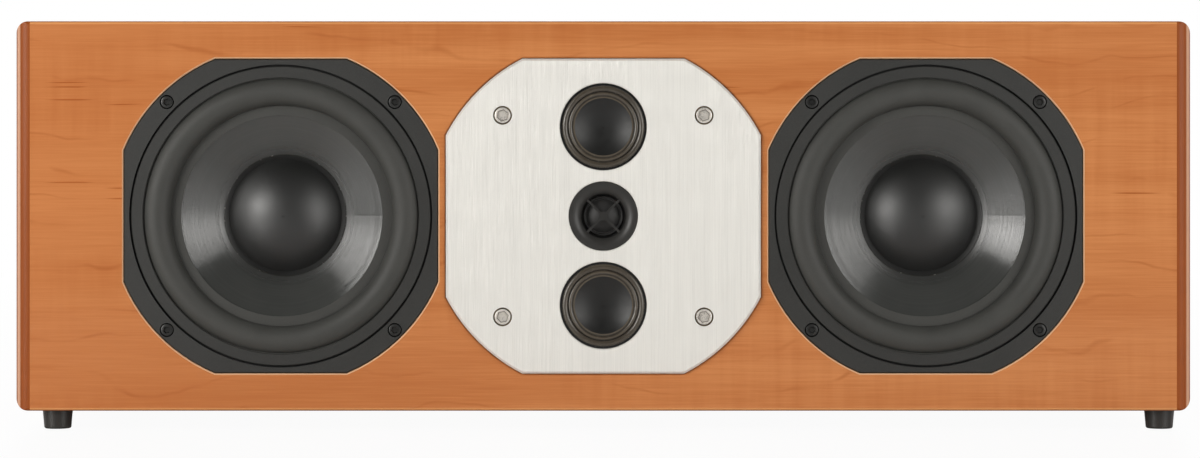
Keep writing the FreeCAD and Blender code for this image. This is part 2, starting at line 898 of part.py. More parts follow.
def mid_dome():
    """Concave dome with its rim and the coil bonded behind it."""
    seat = driver_seat
    shell = mid_dome_thickness
    inner = mid_coil_radius - mid_coil_wall
    centre = seat + mid_dome_depth
    return turned([
        (0, centre),
        (domed(mid_dome_radius, seat, centre), (mid_dome_radius, seat)),
        (mid_dome_radius + mid_dome_rim, seat),
        (mid_dome_radius + mid_dome_rim, seat + shell),
        (mid_coil_radius, seat + shell),
        (mid_coil_radius, seat + mid_coil_length),
        (inner, seat + mid_coil_length),
        (inner, seat + shell + mid_coil_inset),
        (domed(inner, seat + shell + mid_coil_inset, centre + shell), (0, centre + shell)),
    ])


def mid_motor():
    """Cup magnet with a ring-shaped gap for the coil."""
    pole_top = mid_motor_front + mid_pole_drop
    floor = mid_motor_back - mid_motor_base
    neck = mid_gap_inner - mid_pole_neck
    return turned([
        (mid_gap_outer, mid_motor_front),
        (mid_motor_radius, mid_motor_front),
        (mid_motor_radius, mid_motor_back),
        (0, mid_motor_back),
        (0, pole_top),
        (mid_gap_inner, pole_top),
        (mid_gap_inner, pole_top + mid_pole_tip),
        (neck, pole_top + mid_pole_tip),
        (neck, floor),
        (mid_gap_outer, floor),
    ])


def tweeter_faceplate():
    """Short bell-mouthed horn with a crossed guard in front of the dome."""
    land = tweeter_face_radius - tweeter_face_edge - tweeter_mouth_land
    bell_end = (tweeter_throat_radius + tweeter_bell, tweeter_bell_depth)
    mouth = (land, tweeter_face_sink)
    bell = ((2 * bell_end[0] + mouth[0]) / 3, (bell_end[1] + 2 * mouth[1]) / 3)
    body = turned([
        mouth,
        (land + tweeter_mouth_land, tweeter_face_sink),
        (tweeter_face_radius, tweeter_face_sink + tweeter_face_edge),
        (tweeter_face_radius, driver_seat),
        (tweeter_shoulder_radius, driver_seat),
        (tweeter_shoulder_radius, tweeter_face_depth),
        (tweeter_throat_radius, tweeter_face_depth),
        bell_end,
        (bell, mouth),
    ])
    half = guard_spoke_width / 2
    reach = tweeter_throat_radius + 2 * tweeter_bell
    guard = [rod(guard_hub_radius, guard_depth, guard_depth + guard_thickness)]
    for index in range(guard_spokes):
        spoke = block(0, reach, guard_depth, guard_depth + guard_thickness, -half, half)
        angle = 360.0 * (index + 0.5) / guard_spokes
        guard.append(spoke.rotated(vec(0, 0, 0), vec(0, 1, 0), angle))
    return body.fuse(guard).removeSplitter()


def tweeter_surround():
    """Small roll clamped between the faceplate and the motor."""
    face = tweeter_face_depth
    seat = tweeter_motor_front
    inner = tweeter_coil_radius + glue_line
    outer_front = (tweeter_throat_radius, face)
    inner_front = (inner, face)
    return turned([
        (tweeter_throat_radius + tweeter_surround_rim, face),
        outer_front,
        (bowed(outer_front, inner_front, tweeter_roll_height), inner_front),
        (inner, seat),
        (bowed((inner, seat), (tweeter_throat_radius, seat), tweeter_roll_height),
         (tweeter_throat_radius, seat)),
        (tweeter_throat_radius + tweeter_surround_rim, seat),
    ])


def tweeter_dome():
    """Convex dome with the coil bonded to its edge."""
    face = tweeter_face_depth
    seat = tweeter_motor_front
    inner = tweeter_coil_radius - tweeter_coil_wall
    crest = face - tweeter_dome_height
    return turned([
        (0, crest),
        (domed(tweeter_dome_radius, face, crest), (tweeter_dome_radius, face)),
        (tweeter_coil_radius, face),
        (tweeter_coil_radius, seat + tweeter_coil_length),
        (inner, seat + tweeter_coil_length),
        (inner, seat),
        (domed(inner, seat, crest + tweeter_dome_thickness), (0, crest + tweeter_dome_thickness)),
    ])


def tweeter_motor():
    """Magnet system behind the faceplate."""
    start = tweeter_motor_front
    gap_outer = tweeter_coil_radius + coil_gap
    gap_inner = tweeter_coil_radius - tweeter_coil_wall - coil_gap
    floor = tweeter_motor_back - tweeter_base
    pole_top = start + tweeter_pole_drop
    under_plate = start + tweeter_plate_thickness
    return turned([
        (gap_outer, start),
        (tweeter_motor_radius, start),
        (tweeter_motor_radius, tweeter_motor_back),
        (0, tweeter_motor_back),
        (0, pole_top),
        (gap_inner, pole_top),
        (gap_inner, under_plate),
        (gap_inner - tweeter_pole_neck, under_plate),
        (gap_inner - tweeter_pole_neck, floor),
        (gap_outer + tweeter_magnet_room, floor),
        (gap_outer + tweeter_magnet_room, under_plate),
        (gap_outer, under_plate),
    ])


def cup_screw_places():
    return four_corners(cup_width / 2 - cup_screw_inset, cup_height / 2 - cup_screw_inset)


def post_places():
    """X of the red post and of the black post."""
    return (post_spacing / 2, -post_spacing / 2)


def rounded_block(width, height, radius, y0, y1):
    """Block on the terminal cup's axis with rounded upright corners."""
    shape = block(-width / 2, width / 2, y0, y1, -height / 2, height / 2)
    return eased(shape, radius, vec(0, 1, 0), False).translated(vec(0, 0, cup_axis))


def terminal_cup():
    """Flanged cup let into the back panel."""
    flange = rounded_block(cup_width, cup_height, cup_corner_radius, back, cup_face)
    shell = rounded_block(bowl_width + 2 * bowl_wall, bowl_height + 2 * bowl_wall,
                          bowl_corner_radius + bowl_wall, bowl_back, back)
    hollow = rounded_block(bowl_width, bowl_height, bowl_corner_radius, bowl_floor, cup_face)
    holes = [rod(post_radius + pin_fit, bowl_back, bowl_floor, x, cup_axis) for x in post_places()]
    for x, z in cup_screw_places():
        holes.append(rod(cup_screw_radius + pin_fit, back, cup_face, x, cup_axis + z))
        deep = vec(x, cup_face - cup_screw_head_height, cup_axis + z)
        holes.append(Part.makeCone(cup_screw_radius + pin_fit, cup_screw_head_radius + pin_fit,
                                   cup_screw_head_height, deep, vec(0, 1, 0)))
    return flange.fuse(shell).cut([hollow] + holes).removeSplitter()


def cup_screws():
    """Countersunk screws with a crossed recess, flush with the cup's flange."""
    under_head = cup_face - cup_screw_head_height
    end = cup_face - cup_screw_length + lay_gap
    body = turned([
        (0, end),
        (cup_screw_radius - screw_tip / 2, end),
        (cup_screw_radius, end + screw_tip),
        (cup_screw_radius, under_head),
        (cup_screw_head_radius, cup_face),
        (0, cup_face),
    ])
    half_length = cup_screw_slot_length / 2
    half_width = cup_screw_slot_width / 2
    y0 = cup_face - cup_screw_slot_depth
    slots = [block(-half_length, half_length, y0, cup_face, -half_width, half_width),
             block(-half_width, half_width, y0, cup_face, -half_length, half_length)]
    body = body.cut(slots)
    return Part.makeCompound([body.translated(vec(x, 0, cup_axis + z)) for x, z in cup_screw_places()])


def binding_post(x):
    """Hollow stem with a collar outside the cup, a nut inside it and a hole for bare wire."""
    tail = bowl_back - post_tail
    stem = rod(post_radius, tail, post_end)
    collar = rod(post_collar_radius, bowl_floor, post_seat)
    nut = hexagon(post_nut_flats, bowl_back - post_nut_thickness, bowl_back)
    plug = rod(post_plug_radius, post_end - post_plug_depth, post_end)
    wire = Part.makeCylinder(post_wire_hole_radius, 2 * post_radius,
                             vec(-post_radius, post_seat + post_wire_hole_rise, 0), vec(1, 0, 0))
    whole = stem.fuse([collar, nut]).cut([plug, wire]).removeSplitter()
    return whole.translated(vec(x, 0, cup_axis))


def post_washer(x):
    return tube(post_collar_radius, post_radius + post_cap_fit, post_seat, cap_seat, x, cup_axis)


def post_cap(x):
    """Grooved thumb nut."""
    body = tube(post_cap_radius, post_radius + post_cap_fit, cap_seat, post_end)
    grooves = []
    for index in range(post_cap_grooves):
        angle = 2 * math.pi * index / post_cap_grooves
        grooves.append(rod(post_cap_groove_radius, cap_seat + post_cap_plain, post_end - post_cap_plain,
                           post_cap_radius * math.cos(angle), post_cap_radius * math.sin(angle)))
    return body.cut(grooves).translated(vec(x, 0, cup_axis))


def board_corner(x, y):
    """Board position from a place measured from the board's middle."""
    return (woofer_offset + x, board_middle_y + y)


def board_screw_places():
    half_length = board_length / 2 - board_screw_inset
    half_width = board_width / 2 - board_screw_inset
    return [board_corner(x, y) for x, y in four_corners(half_length, half_width)]


def crossover_board():
    x0, y0 = board_corner(-board_length / 2, -board_width / 2)
    board = block(x0, x0 + board_length, y0, y0 + board_width, board_bottom, board_top)
    radius = board_screw_radius + pin_fit
    return board.cut([post(radius, board_bottom, board_top, x, y) for x, y in board_screw_places()])


def crossover_screws():
    """Screws with a spacer that holds the board off the bottom panel."""
    solids = []
    for x, y in board_screw_places():
        shank = post(board_screw_radius, inside_bottom - board_screw_length + lay_gap, board_top, x, y)
        spacer = post(board_spacer_radius, inside_bottom, board_bottom, x, y)
        head = post(board_screw_head_radius, board_top, board_top + board_screw_head_height, x, y)
        solids.append(shank.fuse([spacer, head]).removeSplitter())
    return Part.makeCompound(solids)


def crossover_inductors():
    """Two air-cored coils that stand on the board."""
    solids = []
    for sign in (-1, 1):
        x, y = board_corner(coil_row, sign * coil_pitch / 2)
        outer = post(coil_outer_radius, board_top, board_top + coil_height, x, y)
        solids.append(outer.cut(post(coil_inner_radius, board_top, board_top + coil_height, x, y)))
    return Part.makeCompound(solids)


def crossover_capacitors():
    """Row of film capacitors that lie on the board."""
    solids = []
    for index in range(capacitors):
        across = (index - (capacitors - 1) / 2) * capacitor_pitch
        x, y = board_corner(capacitor_row - capacitor_length / 2, across)
        solids.append(Part.makeCylinder(capacitor_radius, capacitor_length,
                                        vec(x, y, board_top + capacitor_radius), vec(1, 0, 0)))
    return Part.makeCompound(solids)


def damping_lining():
    """Felt pads on the back, top and side panels of both woofer chambers."""
    solids = []
    start = baffle_back + lining_margin
    stop = inside_back - lining_thickness - lining_margin
    low_edge = inside_bottom + lining_margin
    high_edge = inside_top - lining_thickness - lining_margin
    for sign in (-1, 1):
        near = enclosure_half_width + lining_margin
        far = inside_side - lining_thickness - lining_margin
        low, high = sorted((sign * near, sign * far))
        solids.append(block(low, high, start, stop, inside_top - lining_thickness, inside_top))
        cup_edge = bowl_width / 2 + bowl_wall + lining_margin
        low, high = sorted((sign * cup_edge, sign * far))
        solids.append(block(low, high, inside_back - lining_thickness, inside_back, low_edge, high_edge))
        low, high = sorted((sign * (inside_side - lining_thickness), sign * inside_side))
        solids.append(block(low, high, start, stop, low_edge, high_edge))
    return Part.makeCompound(solids)


def wiring_leads():
    """Leads from the posts to the board, and from the board to each driver."""
    board_left, board_front = board_corner(-board_length / 2, -board_width / 2)
    board_rear = board_front + board_width
    landing = board_left + lead_edge
    first = board_screw_inset + board_screw_head_radius + lead_edge
    solids = []
    for index, x in enumerate(post_places()):
        drop = board_rear - first - index * lead_pitch
        solids.append(lead([
            (x, bowl_back - post_tail, cup_axis),
            (x, drop, cup_axis),
            (landing, drop, cup_axis),
            (landing, drop, board_top),
        ]))
    tab_height = axis_height - (spider_radius + lay_gap + basket_wall + terminal_tab_reach / 2)
    tab_back = front + top_plate_depth
    aisle = (max(enclosure_back, front + woofer_depth) + board_front) / 2
    left_drop = board_front + first
    right_drop = left_drop + lead_pitch
    solids.append(lead([
        (landing, left_drop, board_top),
        (landing, left_drop, tab_height),
        (landing - lead_pitch, aisle, tab_height),
        (-woofer_offset, aisle, tab_height),
        (-woofer_offset, tab_back, tab_height),
    ]))
    solids.append(lead([
        (landing, right_drop, board_top),
        (landing, right_drop, tab_height),
        (woofer_offset, aisle, tab_height),
        (woofer_offset, tab_back, tab_height),
    ]))
    solids.append(lead([
        (landing, board_middle_y, board_top),
        (landing, board_middle_y, axis_height),
        (0, board_middle_y, axis_height),
        (0, enclosure_back, axis_height),
    ]))
    return Part.makeCompound(solids + enclosure_leads())


def enclosure_leads():
    """Leads from the back of the trough to the tweeter and the two midranges."""
    wall = enclosure_back - enclosure_wall
    motor = plate_front + mid_motor_back
    halfway = (wall + motor) / 2
    solids = [lead([(0, wall, axis_height), (0, plate_front + tweeter_motor_back, axis_height)])]
    for z in mid_places():
        leave = axis_height + math.copysign(lead_pitch, z)
        solids.append(lead([
            (0, wall, leave),
            (0, halfway, leave),
            (0, halfway, axis_height + z),
            (0, motor, axis_height + z),
        ]))
    return solids


def save(name, shape):
    shape.exportStep("parts/" + name + ".step")


def build_cabinet():
    body = cabinet_body()
    save("front_baffle", baffle(body))
    save("left_corner_strip", corner_strip(body, -1))
    save("right_corner_strip", corner_strip(body, 1))
    save("left_side_panel", side_panel(body, -1))
    save("right_side_panel", side_panel(body, 1))
    save("top_panel", body.common(block(-inside_side, inside_side, baffle_back, back, inside_top, top)))
    save("bottom_panel", bottom_panel(body))
    save("rear_panel", rear_panel(body))
    save("mid_enclosure", mid_enclosure())
    save("rubber_feet", Part.makeCompound([foot(x, y) for x, y in foot_places()]))


def build_woofers():
    pieces = {
        "basket": woofer_basket(),
        "trim_ring": woofer_trim_ring(),
        "surround": woofer_surround(),
        "cone": woofer_cone(),
        "dust_cap": woofer_dust_cap(),
        "voice_coil": woofer_voice_coil(),
        "spider": woofer_spider(),
        "top_plate": woofer_top_plate(),
        "magnet": woofer_magnet(),
        "yoke": woofer_yoke(),
    }
    for label, x in (("left", -woofer_offset), ("right", woofer_offset)):
        for piece, shape in pieces.items():
            save(label + "_woofer_" + piece, shape.translated(woofer_place(x)))
    save("woofer_screws", woofer_screws())


def build_plate_drivers():
    save("driver_plate", driver_plate())
    save("plate_screws", plate_screws())
    gaskets = [woofer_gasket().translated(woofer_place(x)) for x in (-woofer_offset, woofer_offset)]
    save("woofer_gaskets", Part.makeCompound(gaskets))
    save("plate_gasket", plate_gasket())
    for label, z in zip(("lower", "upper"), mid_places()):
        place = vec(0, plate_front, axis_height + z)
        save(label + "_mid_frame", mid_frame().translated(place))
        save(label + "_mid_surround", mid_surround().translated(place))
        save(label + "_mid_dome", mid_dome().translated(place))
        save(label + "_mid_motor", mid_motor().translated(place))
    place = vec(0, plate_front, axis_height)
    save("tweeter_faceplate", tweeter_faceplate().translated(place))
    save("tweeter_surround", tweeter_surround().translated(place))
    save("tweeter_dome", tweeter_dome().translated(place))
    save("tweeter_motor", tweeter_motor().translated(place))


def build_rear():
    save("terminal_cup", terminal_cup())
    save("terminal_cup_screws", cup_screws())
    save("binding_posts", Part.makeCompound([binding_post(x) for x in post_places()]))
    for label, x in zip(("red", "black"), post_places()):
        save(label + "_post_washer", post_washer(x))
        save(label + "_post_cap", post_cap(x))


def build_inside():
    save("crossover_board", crossover_board())
    save("crossover_screws", crossover_screws())
    save("crossover_inductors", crossover_inductors())
    save("crossover_capacitors", crossover_capacitors())
    save("damping_lining", damping_lining())
    save("wiring_leads", wiring_leads())


os.makedirs("parts", exist_ok=True)
build_cabinet()
build_woofers()
build_plate_drivers()
build_rear()
build_inside()
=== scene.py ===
"""Looks for the packed loudspeaker: finishes, turned surrounds, screws, windings and the studio."""
import math

import bmesh
import bpy
from bpy.props import FloatProperty, FloatVectorProperty, IntProperty, PointerProperty
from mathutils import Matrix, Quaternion, Vector, noise


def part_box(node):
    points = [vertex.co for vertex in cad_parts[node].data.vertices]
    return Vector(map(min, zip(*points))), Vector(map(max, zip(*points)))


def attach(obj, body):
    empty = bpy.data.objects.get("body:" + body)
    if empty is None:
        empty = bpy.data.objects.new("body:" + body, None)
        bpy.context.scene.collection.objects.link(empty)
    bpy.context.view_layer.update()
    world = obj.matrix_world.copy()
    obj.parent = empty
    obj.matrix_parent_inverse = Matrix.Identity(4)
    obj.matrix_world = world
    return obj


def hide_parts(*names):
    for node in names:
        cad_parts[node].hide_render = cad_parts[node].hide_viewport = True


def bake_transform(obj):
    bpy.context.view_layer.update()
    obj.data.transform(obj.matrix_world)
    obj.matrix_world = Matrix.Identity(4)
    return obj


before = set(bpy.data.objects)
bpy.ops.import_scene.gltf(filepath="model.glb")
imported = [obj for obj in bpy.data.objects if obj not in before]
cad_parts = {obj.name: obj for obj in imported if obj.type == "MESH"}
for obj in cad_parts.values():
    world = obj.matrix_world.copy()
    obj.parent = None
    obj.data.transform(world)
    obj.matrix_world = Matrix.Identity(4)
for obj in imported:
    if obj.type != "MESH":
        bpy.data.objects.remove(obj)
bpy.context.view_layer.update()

bl_info = {
    "name": "Loudspeaker dressing",
    "version": (1, 0, 0),
    "blender": (4, 5, 0),
    "location": "3D View > Sidebar > Loudspeaker",
    "description": "Finishes and fine pieces for a packed three-way loudspeaker",
    "category": "Object",
}

SIDES = ("left", "right")
MIDS = ("lower", "upper")
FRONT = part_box("front_baffle")[0].y
PLATE_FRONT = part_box("driver_plate")[0].y
STEPS = 256  # outlines around a turned piece
ANGLES = [2 * math.pi * step / STEPS for step in range(STEPS)]
CIRCLE = [(math.cos(angle), math.sin(angle)) for angle in ANGLES]
CRISP = 38  # degrees between two faces from which a corner stays sharp
VENEER = 0.0039  # thickness of the wood over the fibre board
COUNTERBORE = 0.0062  # radius of the hollows round the plate's screws


def tint(red, green, blue):
    """Linear colour of a screen colour given as three numbers up to 255."""
    shares = (red / 255, green / 255, blue / 255)
    return tuple(s / 12.92 if s <= 0.04045 else ((s + 0.055) / 1.055) ** 2.4 for s in shares) + (1.0,)


BOARD_LIGHT, BOARD_DARK = tint(176, 140, 100), tint(140, 106, 72)


def colour_property(name, description, default):
    return FloatVectorProperty(name=name, description=description, default=default, size=4,
                               min=0.0, max=1.0, subtype="COLOR")


def length_property(name, description, default):
    return FloatProperty(name=name, description=description, default=default, min=0.0,
                         subtype="DISTANCE", unit="LENGTH", precision=5)


def share_property(name, description, default):
    return FloatProperty(name=name, description=description, default=default, min=0.0, max=1.0,
                         subtype="FACTOR")


def power_property(name, description, default):
    return FloatProperty(name=name, description=description, default=default, min=0.0, unit="POWER")


class CabinetLook(bpy.types.PropertyGroup):
    """Woods and feet"""
    veneer_light: colour_property("Veneer light", "Pale wood between the grain lines", tint(207, 134, 79))
    veneer_dark: colour_property("Veneer dark", "Wood in the grain lines", tint(185, 109, 57))
    veneer_dash: colour_property("Veneer dashes", "Short dark marks in the front veneer", tint(160, 80, 26))
    strip_light: colour_property("Strip light", "Pale wood of the corner strips", tint(158, 81, 30))
    strip_dark: colour_property("Strip dark", "Grain of the corner strips", tint(137, 67, 24))
    grain_length: length_property("Grain length", "Length of one grain line", 0.045)
    grain_width: length_property("Grain width", "Width of one grain line", 0.0012)
    lacquer: share_property("Lacquer", "Weight of the clear lacquer", 0.45)
    foot_colour: colour_property("Feet", "Rubber of the feet", tint(46, 44, 42))


class WooferLook(bpy.types.PropertyGroup):
    """Woofer frames, surrounds, cones and caps"""
    paint: colour_property("Frame paint", "Textured paint of the flange and trim ring", tint(44, 44, 42))
    rubber: colour_property("Surround", "Rubber of the surrounds", tint(60, 60, 57))
    cone: colour_property("Cone", "Moulded cone", tint(58, 59, 57))
    cap: colour_property("Dust cap", "Moulded dust cap", tint(19, 19, 18))
    clamped_width: length_property("Clamped width", "Flat of the surround under the trim ring", 0.0071)
    roll_width: length_property("Roll width", "Width of the surround's half roll", 0.0154)
    lip_width: length_property("Lip width", "Flat of the surround on the cone", 0.0055)
    roll_height: length_property("Roll height", "Crest of the roll over the clamped flat", 0.0046)
    rubber_thickness: length_property("Rubber thickness", "Wall of the surround", 0.0008)
    bead_radius: length_property("Glue bead", "Radius of the bead at the dust cap's edge", 0.0006)
    groove_pitch: length_property("Cone groove pitch", "Distance between the cone's fine grooves", 0.0012)
    flange_round: length_property("Flange radius", "Radius of the flange between its flats", 0.0976)
    groove_tilt: share_property("Cone groove tilt", "How far the grooves turn the light", 0.42)
    spider_waves: IntProperty(name="Spider waves", description="Corrugations of the spider", default=5, min=1)


class PlateLook(bpy.types.PropertyGroup):
    """Metal plate, midranges and tweeter"""
    metal: colour_property("Plate metal", "Brushed aluminium", tint(245, 243, 237))
    stroke_width: length_property("Brush stroke width", "Width of one brush stroke", 0.0004)
    stroke_length: length_property("Brush stroke length", "Length of one brush stroke", 0.06)
    stroke_tilt: share_property("Brush stroke tilt", "How far the strokes turn the light", 0.5)
    mid_edge: colour_property("Midrange surround", "Coated cloth of the surround", tint(66, 59, 49))
    mid_dome: colour_property("Midrange dome", "Coated cloth of the dome", tint(20, 20, 19))
    mid_roll_height: length_property("Midrange roll", "Height of the large roll", 0.0019)
    mid_ripple_height: length_property("Midrange ripple", "Height of the small roll", 0.0008)
    tweeter_face: colour_property("Tweeter face", "Moulded faceplate and guard", tint(46, 45, 43))
    tweeter_dome: colour_property("Tweeter dome", "Coated silk of the dome", tint(38, 37, 36))


class ScrewLook(bpy.types.PropertyGroup):
    """Socket screws of the woofers and the plate"""
    black: colour_property("Black screws", "Blackened steel", tint(46, 46, 45))
    bright: colour_property("Bright screws", "Stainless steel", tint(232, 226, 217))
    woofer_socket: length_property("Woofer socket", "Width of the woofer screws' hexagon socket", 0.003)
    plate_socket: length_property("Plate socket", "Width of the plate screws' hexagon socket", 0.0054)
    edge: length_property("Head edge", "Width of the sloped edge round the head", 0.0007)
    mouth: length_property("Socket mouth", "Width of the slope into the socket", 0.0004)
    seed: IntProperty(name="Turn seed", description="Seed of the way each screw is turned", default=7, min=0)


class StageLook(bpy.types.PropertyGroup):
    """Camera, lamps and floor"""
    camera_distance: length_property("Camera distance", "From the front of the plate", 1.8)
    camera_height: length_property("Camera height", "Over the floor", 0.150)
    camera_aside: FloatProperty(name="Camera aside", description="Sideways place of the camera",
                                default=-0.0019, unit="LENGTH")
    frame_width: length_property("Frame width", "Width that the image shows at the plate", 0.6882)
    frame_middle: length_property("Frame middle", "Height of the image's middle at the plate", 0.1156)
    left_power: power_property("Left lamp", "Power of the left softbox", 20.3)
    right_power: power_property("Right lamp", "Power of the right softbox", 12.3)
    rear_power: power_property("Rear lamp", "Power of the lamp behind", 14.0)
    lamp_roll: FloatProperty(name="Lamp roll", description="How far the outer end of each softbox is lifted",
                             default=math.radians(22), subtype="ANGLE", unit="ROTATION")
    lamp_colour: colour_property("Lamp colour", "Slightly warm white of the softboxes",
                                 (1.0, 0.985, 0.955, 1.0))
    room: share_property("Room light", "Level of the even light from all round", 0.29)
    floor_colour: colour_property("Floor", "Pale floor", (0.86, 0.86, 0.86, 1.0))


def arithmetic(operation):
    """Method that adds a Math node for an operation on a thread and other values."""
    def method(self, *others):
        return self.node("ShaderNodeMath", dict(enumerate((self, *others))), operation=operation)
    return method


class Thread:
    """One socket in a node tree. Arithmetic on threads adds Math nodes to that tree."""
    __add__ = __radd__ = arithmetic("ADD")
    __mul__ = __rmul__ = arithmetic("MULTIPLY")
    __sub__, __truediv__, __pow__ = arithmetic("SUBTRACT"), arithmetic("DIVIDE"), arithmetic("POWER")
    larger, smaller, pingpong = arithmetic("MAXIMUM"), arithmetic("MINIMUM"), arithmetic("PINGPONG")
    __abs__, sine = arithmetic("ABSOLUTE"), arithmetic("SINE")

    def __init__(self, tree, socket=None):
        self.tree = tree
        self.socket = socket

    def node(self, kind, sockets=None, out=0, **settings):
        """Add a node: its settings first, then the values or links of its sockets."""
        made = self.tree.nodes.new(kind)
        for name, value in settings.items():
            setattr(made, name, value)
        for name, value in (sockets or {}).items():
            for one in value if isinstance(value, list) else [value]:
                if isinstance(one, Thread):
                    self.tree.links.new(one.socket, made.inputs[name])
                else:
                    made.inputs[name].default_value = one
        if isinstance(out, tuple):
            return [Thread(self.tree, made.outputs[name]) for name in out]
        return Thread(self.tree, made.outputs[out])

    def __rsub__(self, other):
        return self.node("ShaderNodeMath", {0: other, 1: self}, operation="SUBTRACT")

    def span(self, other):
        """Length of the way that goes this far, and the other value at right angles."""
        return (self * self + other * other) ** 0.5

    def rise(self, low, high):
        """Smooth step from 0 at low to 1 at high."""
        return self.node("ShaderNodeMapRange", {"Value": self, "From Min": low, "From Max": high},
                         interpolation_type="SMOOTHSTEP")

    def mix(self, first, second):
        """Colour between first, at 0, and second, at 1."""
        return self.node("ShaderNodeMix", {0: self, 6: first, 7: second}, 2, data_type="RGBA")

    def vector(self, operation, *others):
        """Vector arithmetic; the length of a vector is a plain value."""
        return self.node("ShaderNodeVectorMath", dict(enumerate((self, *others))),
                         int(operation == "LENGTH"), operation=operation)

    def axes(self):
        """The three parts of a vector."""
        return self.node("ShaderNodeSeparateXYZ", {"Vector": self}, ("X", "Y", "Z"))

    def stretched(self, scale, centre=(0.0, 0.0, 0.0)):
        """Coordinates from a centre, in units of 1 / scale."""
        shift = tuple(-c * s for c, s in zip(centre, scale))
        return self.node("ShaderNodeMapping", {"Vector": self, "Location": shift, "Scale": tuple(scale)})

    def cloud(self, detail=2.0, roughness=0.5, scale=1.0):
        """Noise read at these coordinates."""
        return self.node("ShaderNodeTexNoise", {"Vector": self, "Scale": scale, "Detail": detail,
                                                "Roughness": roughness})

    def streak(self, detail):
        """Noise along one value."""
        return self.node("ShaderNodeTexNoise", {"W": self, "Scale": 1.0, "Detail": detail},
                         noise_dimensions="1D")

    def relief(self, depth, strength=1.0):
        """Normal of a surface whose height is this value times depth, in metres."""
        return self.node("ShaderNodeBump", {"Height": self, "Distance": depth, "Strength": strength})


def object_place(ink):
    return ink.node("ShaderNodeTexCoord", out="Object")


def new_finish(name):
    """Empty material, and a thread of the coordinates on its object."""
    material = bpy.data.materials.new(name)
    material.use_nodes = True
    return material, object_place(Thread(material.node_tree))


def apply_sockets(material, **sockets):
    """Set or link the shader's sockets; underscores stand for spaces."""
    shader = material.node_tree.nodes["Principled BSDF"]
    for name, value in sockets.items():
        target = shader.inputs[name.replace("_", " ").title().replace("Ior", "IOR")]
        if isinstance(value, Thread):
            material.node_tree.links.new(value.socket, target)
        else:
            target.default_value = value
    return material


def leaned(direction, tilt):
    """Surface normal leaned along a direction by a varying tilt."""
    facing = direction.node("ShaderNodeNewGeometry", out="Normal")
    lean = direction.node("ShaderNodeVectorMath", {0: direction, "Scale": tilt}, operation="SCALE")
    return facing.vector("ADD", lean).vector("NORMALIZE")


def shaded(colour, factor):
    """A colour made darker or lighter by a factor."""
    return tuple(min(1.0, c * factor) for c in colour[:3]) + (1.0,)


def swayed(value, *noises):
    """A value moved by noises of (thread, weight), each by how far it is from one half."""
    for thread, weight in noises:
        value = (thread - 0.5) * weight + value
    return value


def mottled(colour, dark, light, *noises, spread=0.4):
    """A colour between two of its shades, moved by noises."""
    tone = swayed(0.5, *noises).rise(0.5 - spread, 0.5 + spread)
    return tone.mix(shaded(colour, dark), shaded(colour, light))


def front_share(ink):
    """1 where a surface faces the front, 0 where it faces up, down or aside."""
    facing = ink.node("ShaderNodeNewGeometry", out="True Normal")
    return facing.axes()[1] * -1.0


def ring_place(place, spot):
    """Sideways and upright distances from a spot or its mirror image across X = 0, and the radius."""
    x, _, z = place.axes()
    aside, upright = abs(x) - abs(spot.x), z - spot.z
    return aside, upright, aside.span(upright)


def band(value, low, high, soft):
    """1 between two values of a thread and 0 outside them."""
    return value.rise(low - soft, low + soft) * (1 - value.rise(high - soft, high + soft))


def ringed(material, spot, *marks, soft=0.00025):
    """Tint rings of a finish about a spot; a mark is (inner radius, outer radius, share, colour)."""
    shader = material.node_tree.nodes["Principled BSDF"]
    colour = Thread(material.node_tree, shader.inputs["Base Color"].links[0].from_socket)
    radius = ring_place(object_place(colour), spot)[2]
    for inner, outer, share, tone in marks:
        colour = (band(radius, inner, outer, soft) * share).mix(colour, tone)
    return apply_sockets(material, base_color=colour)


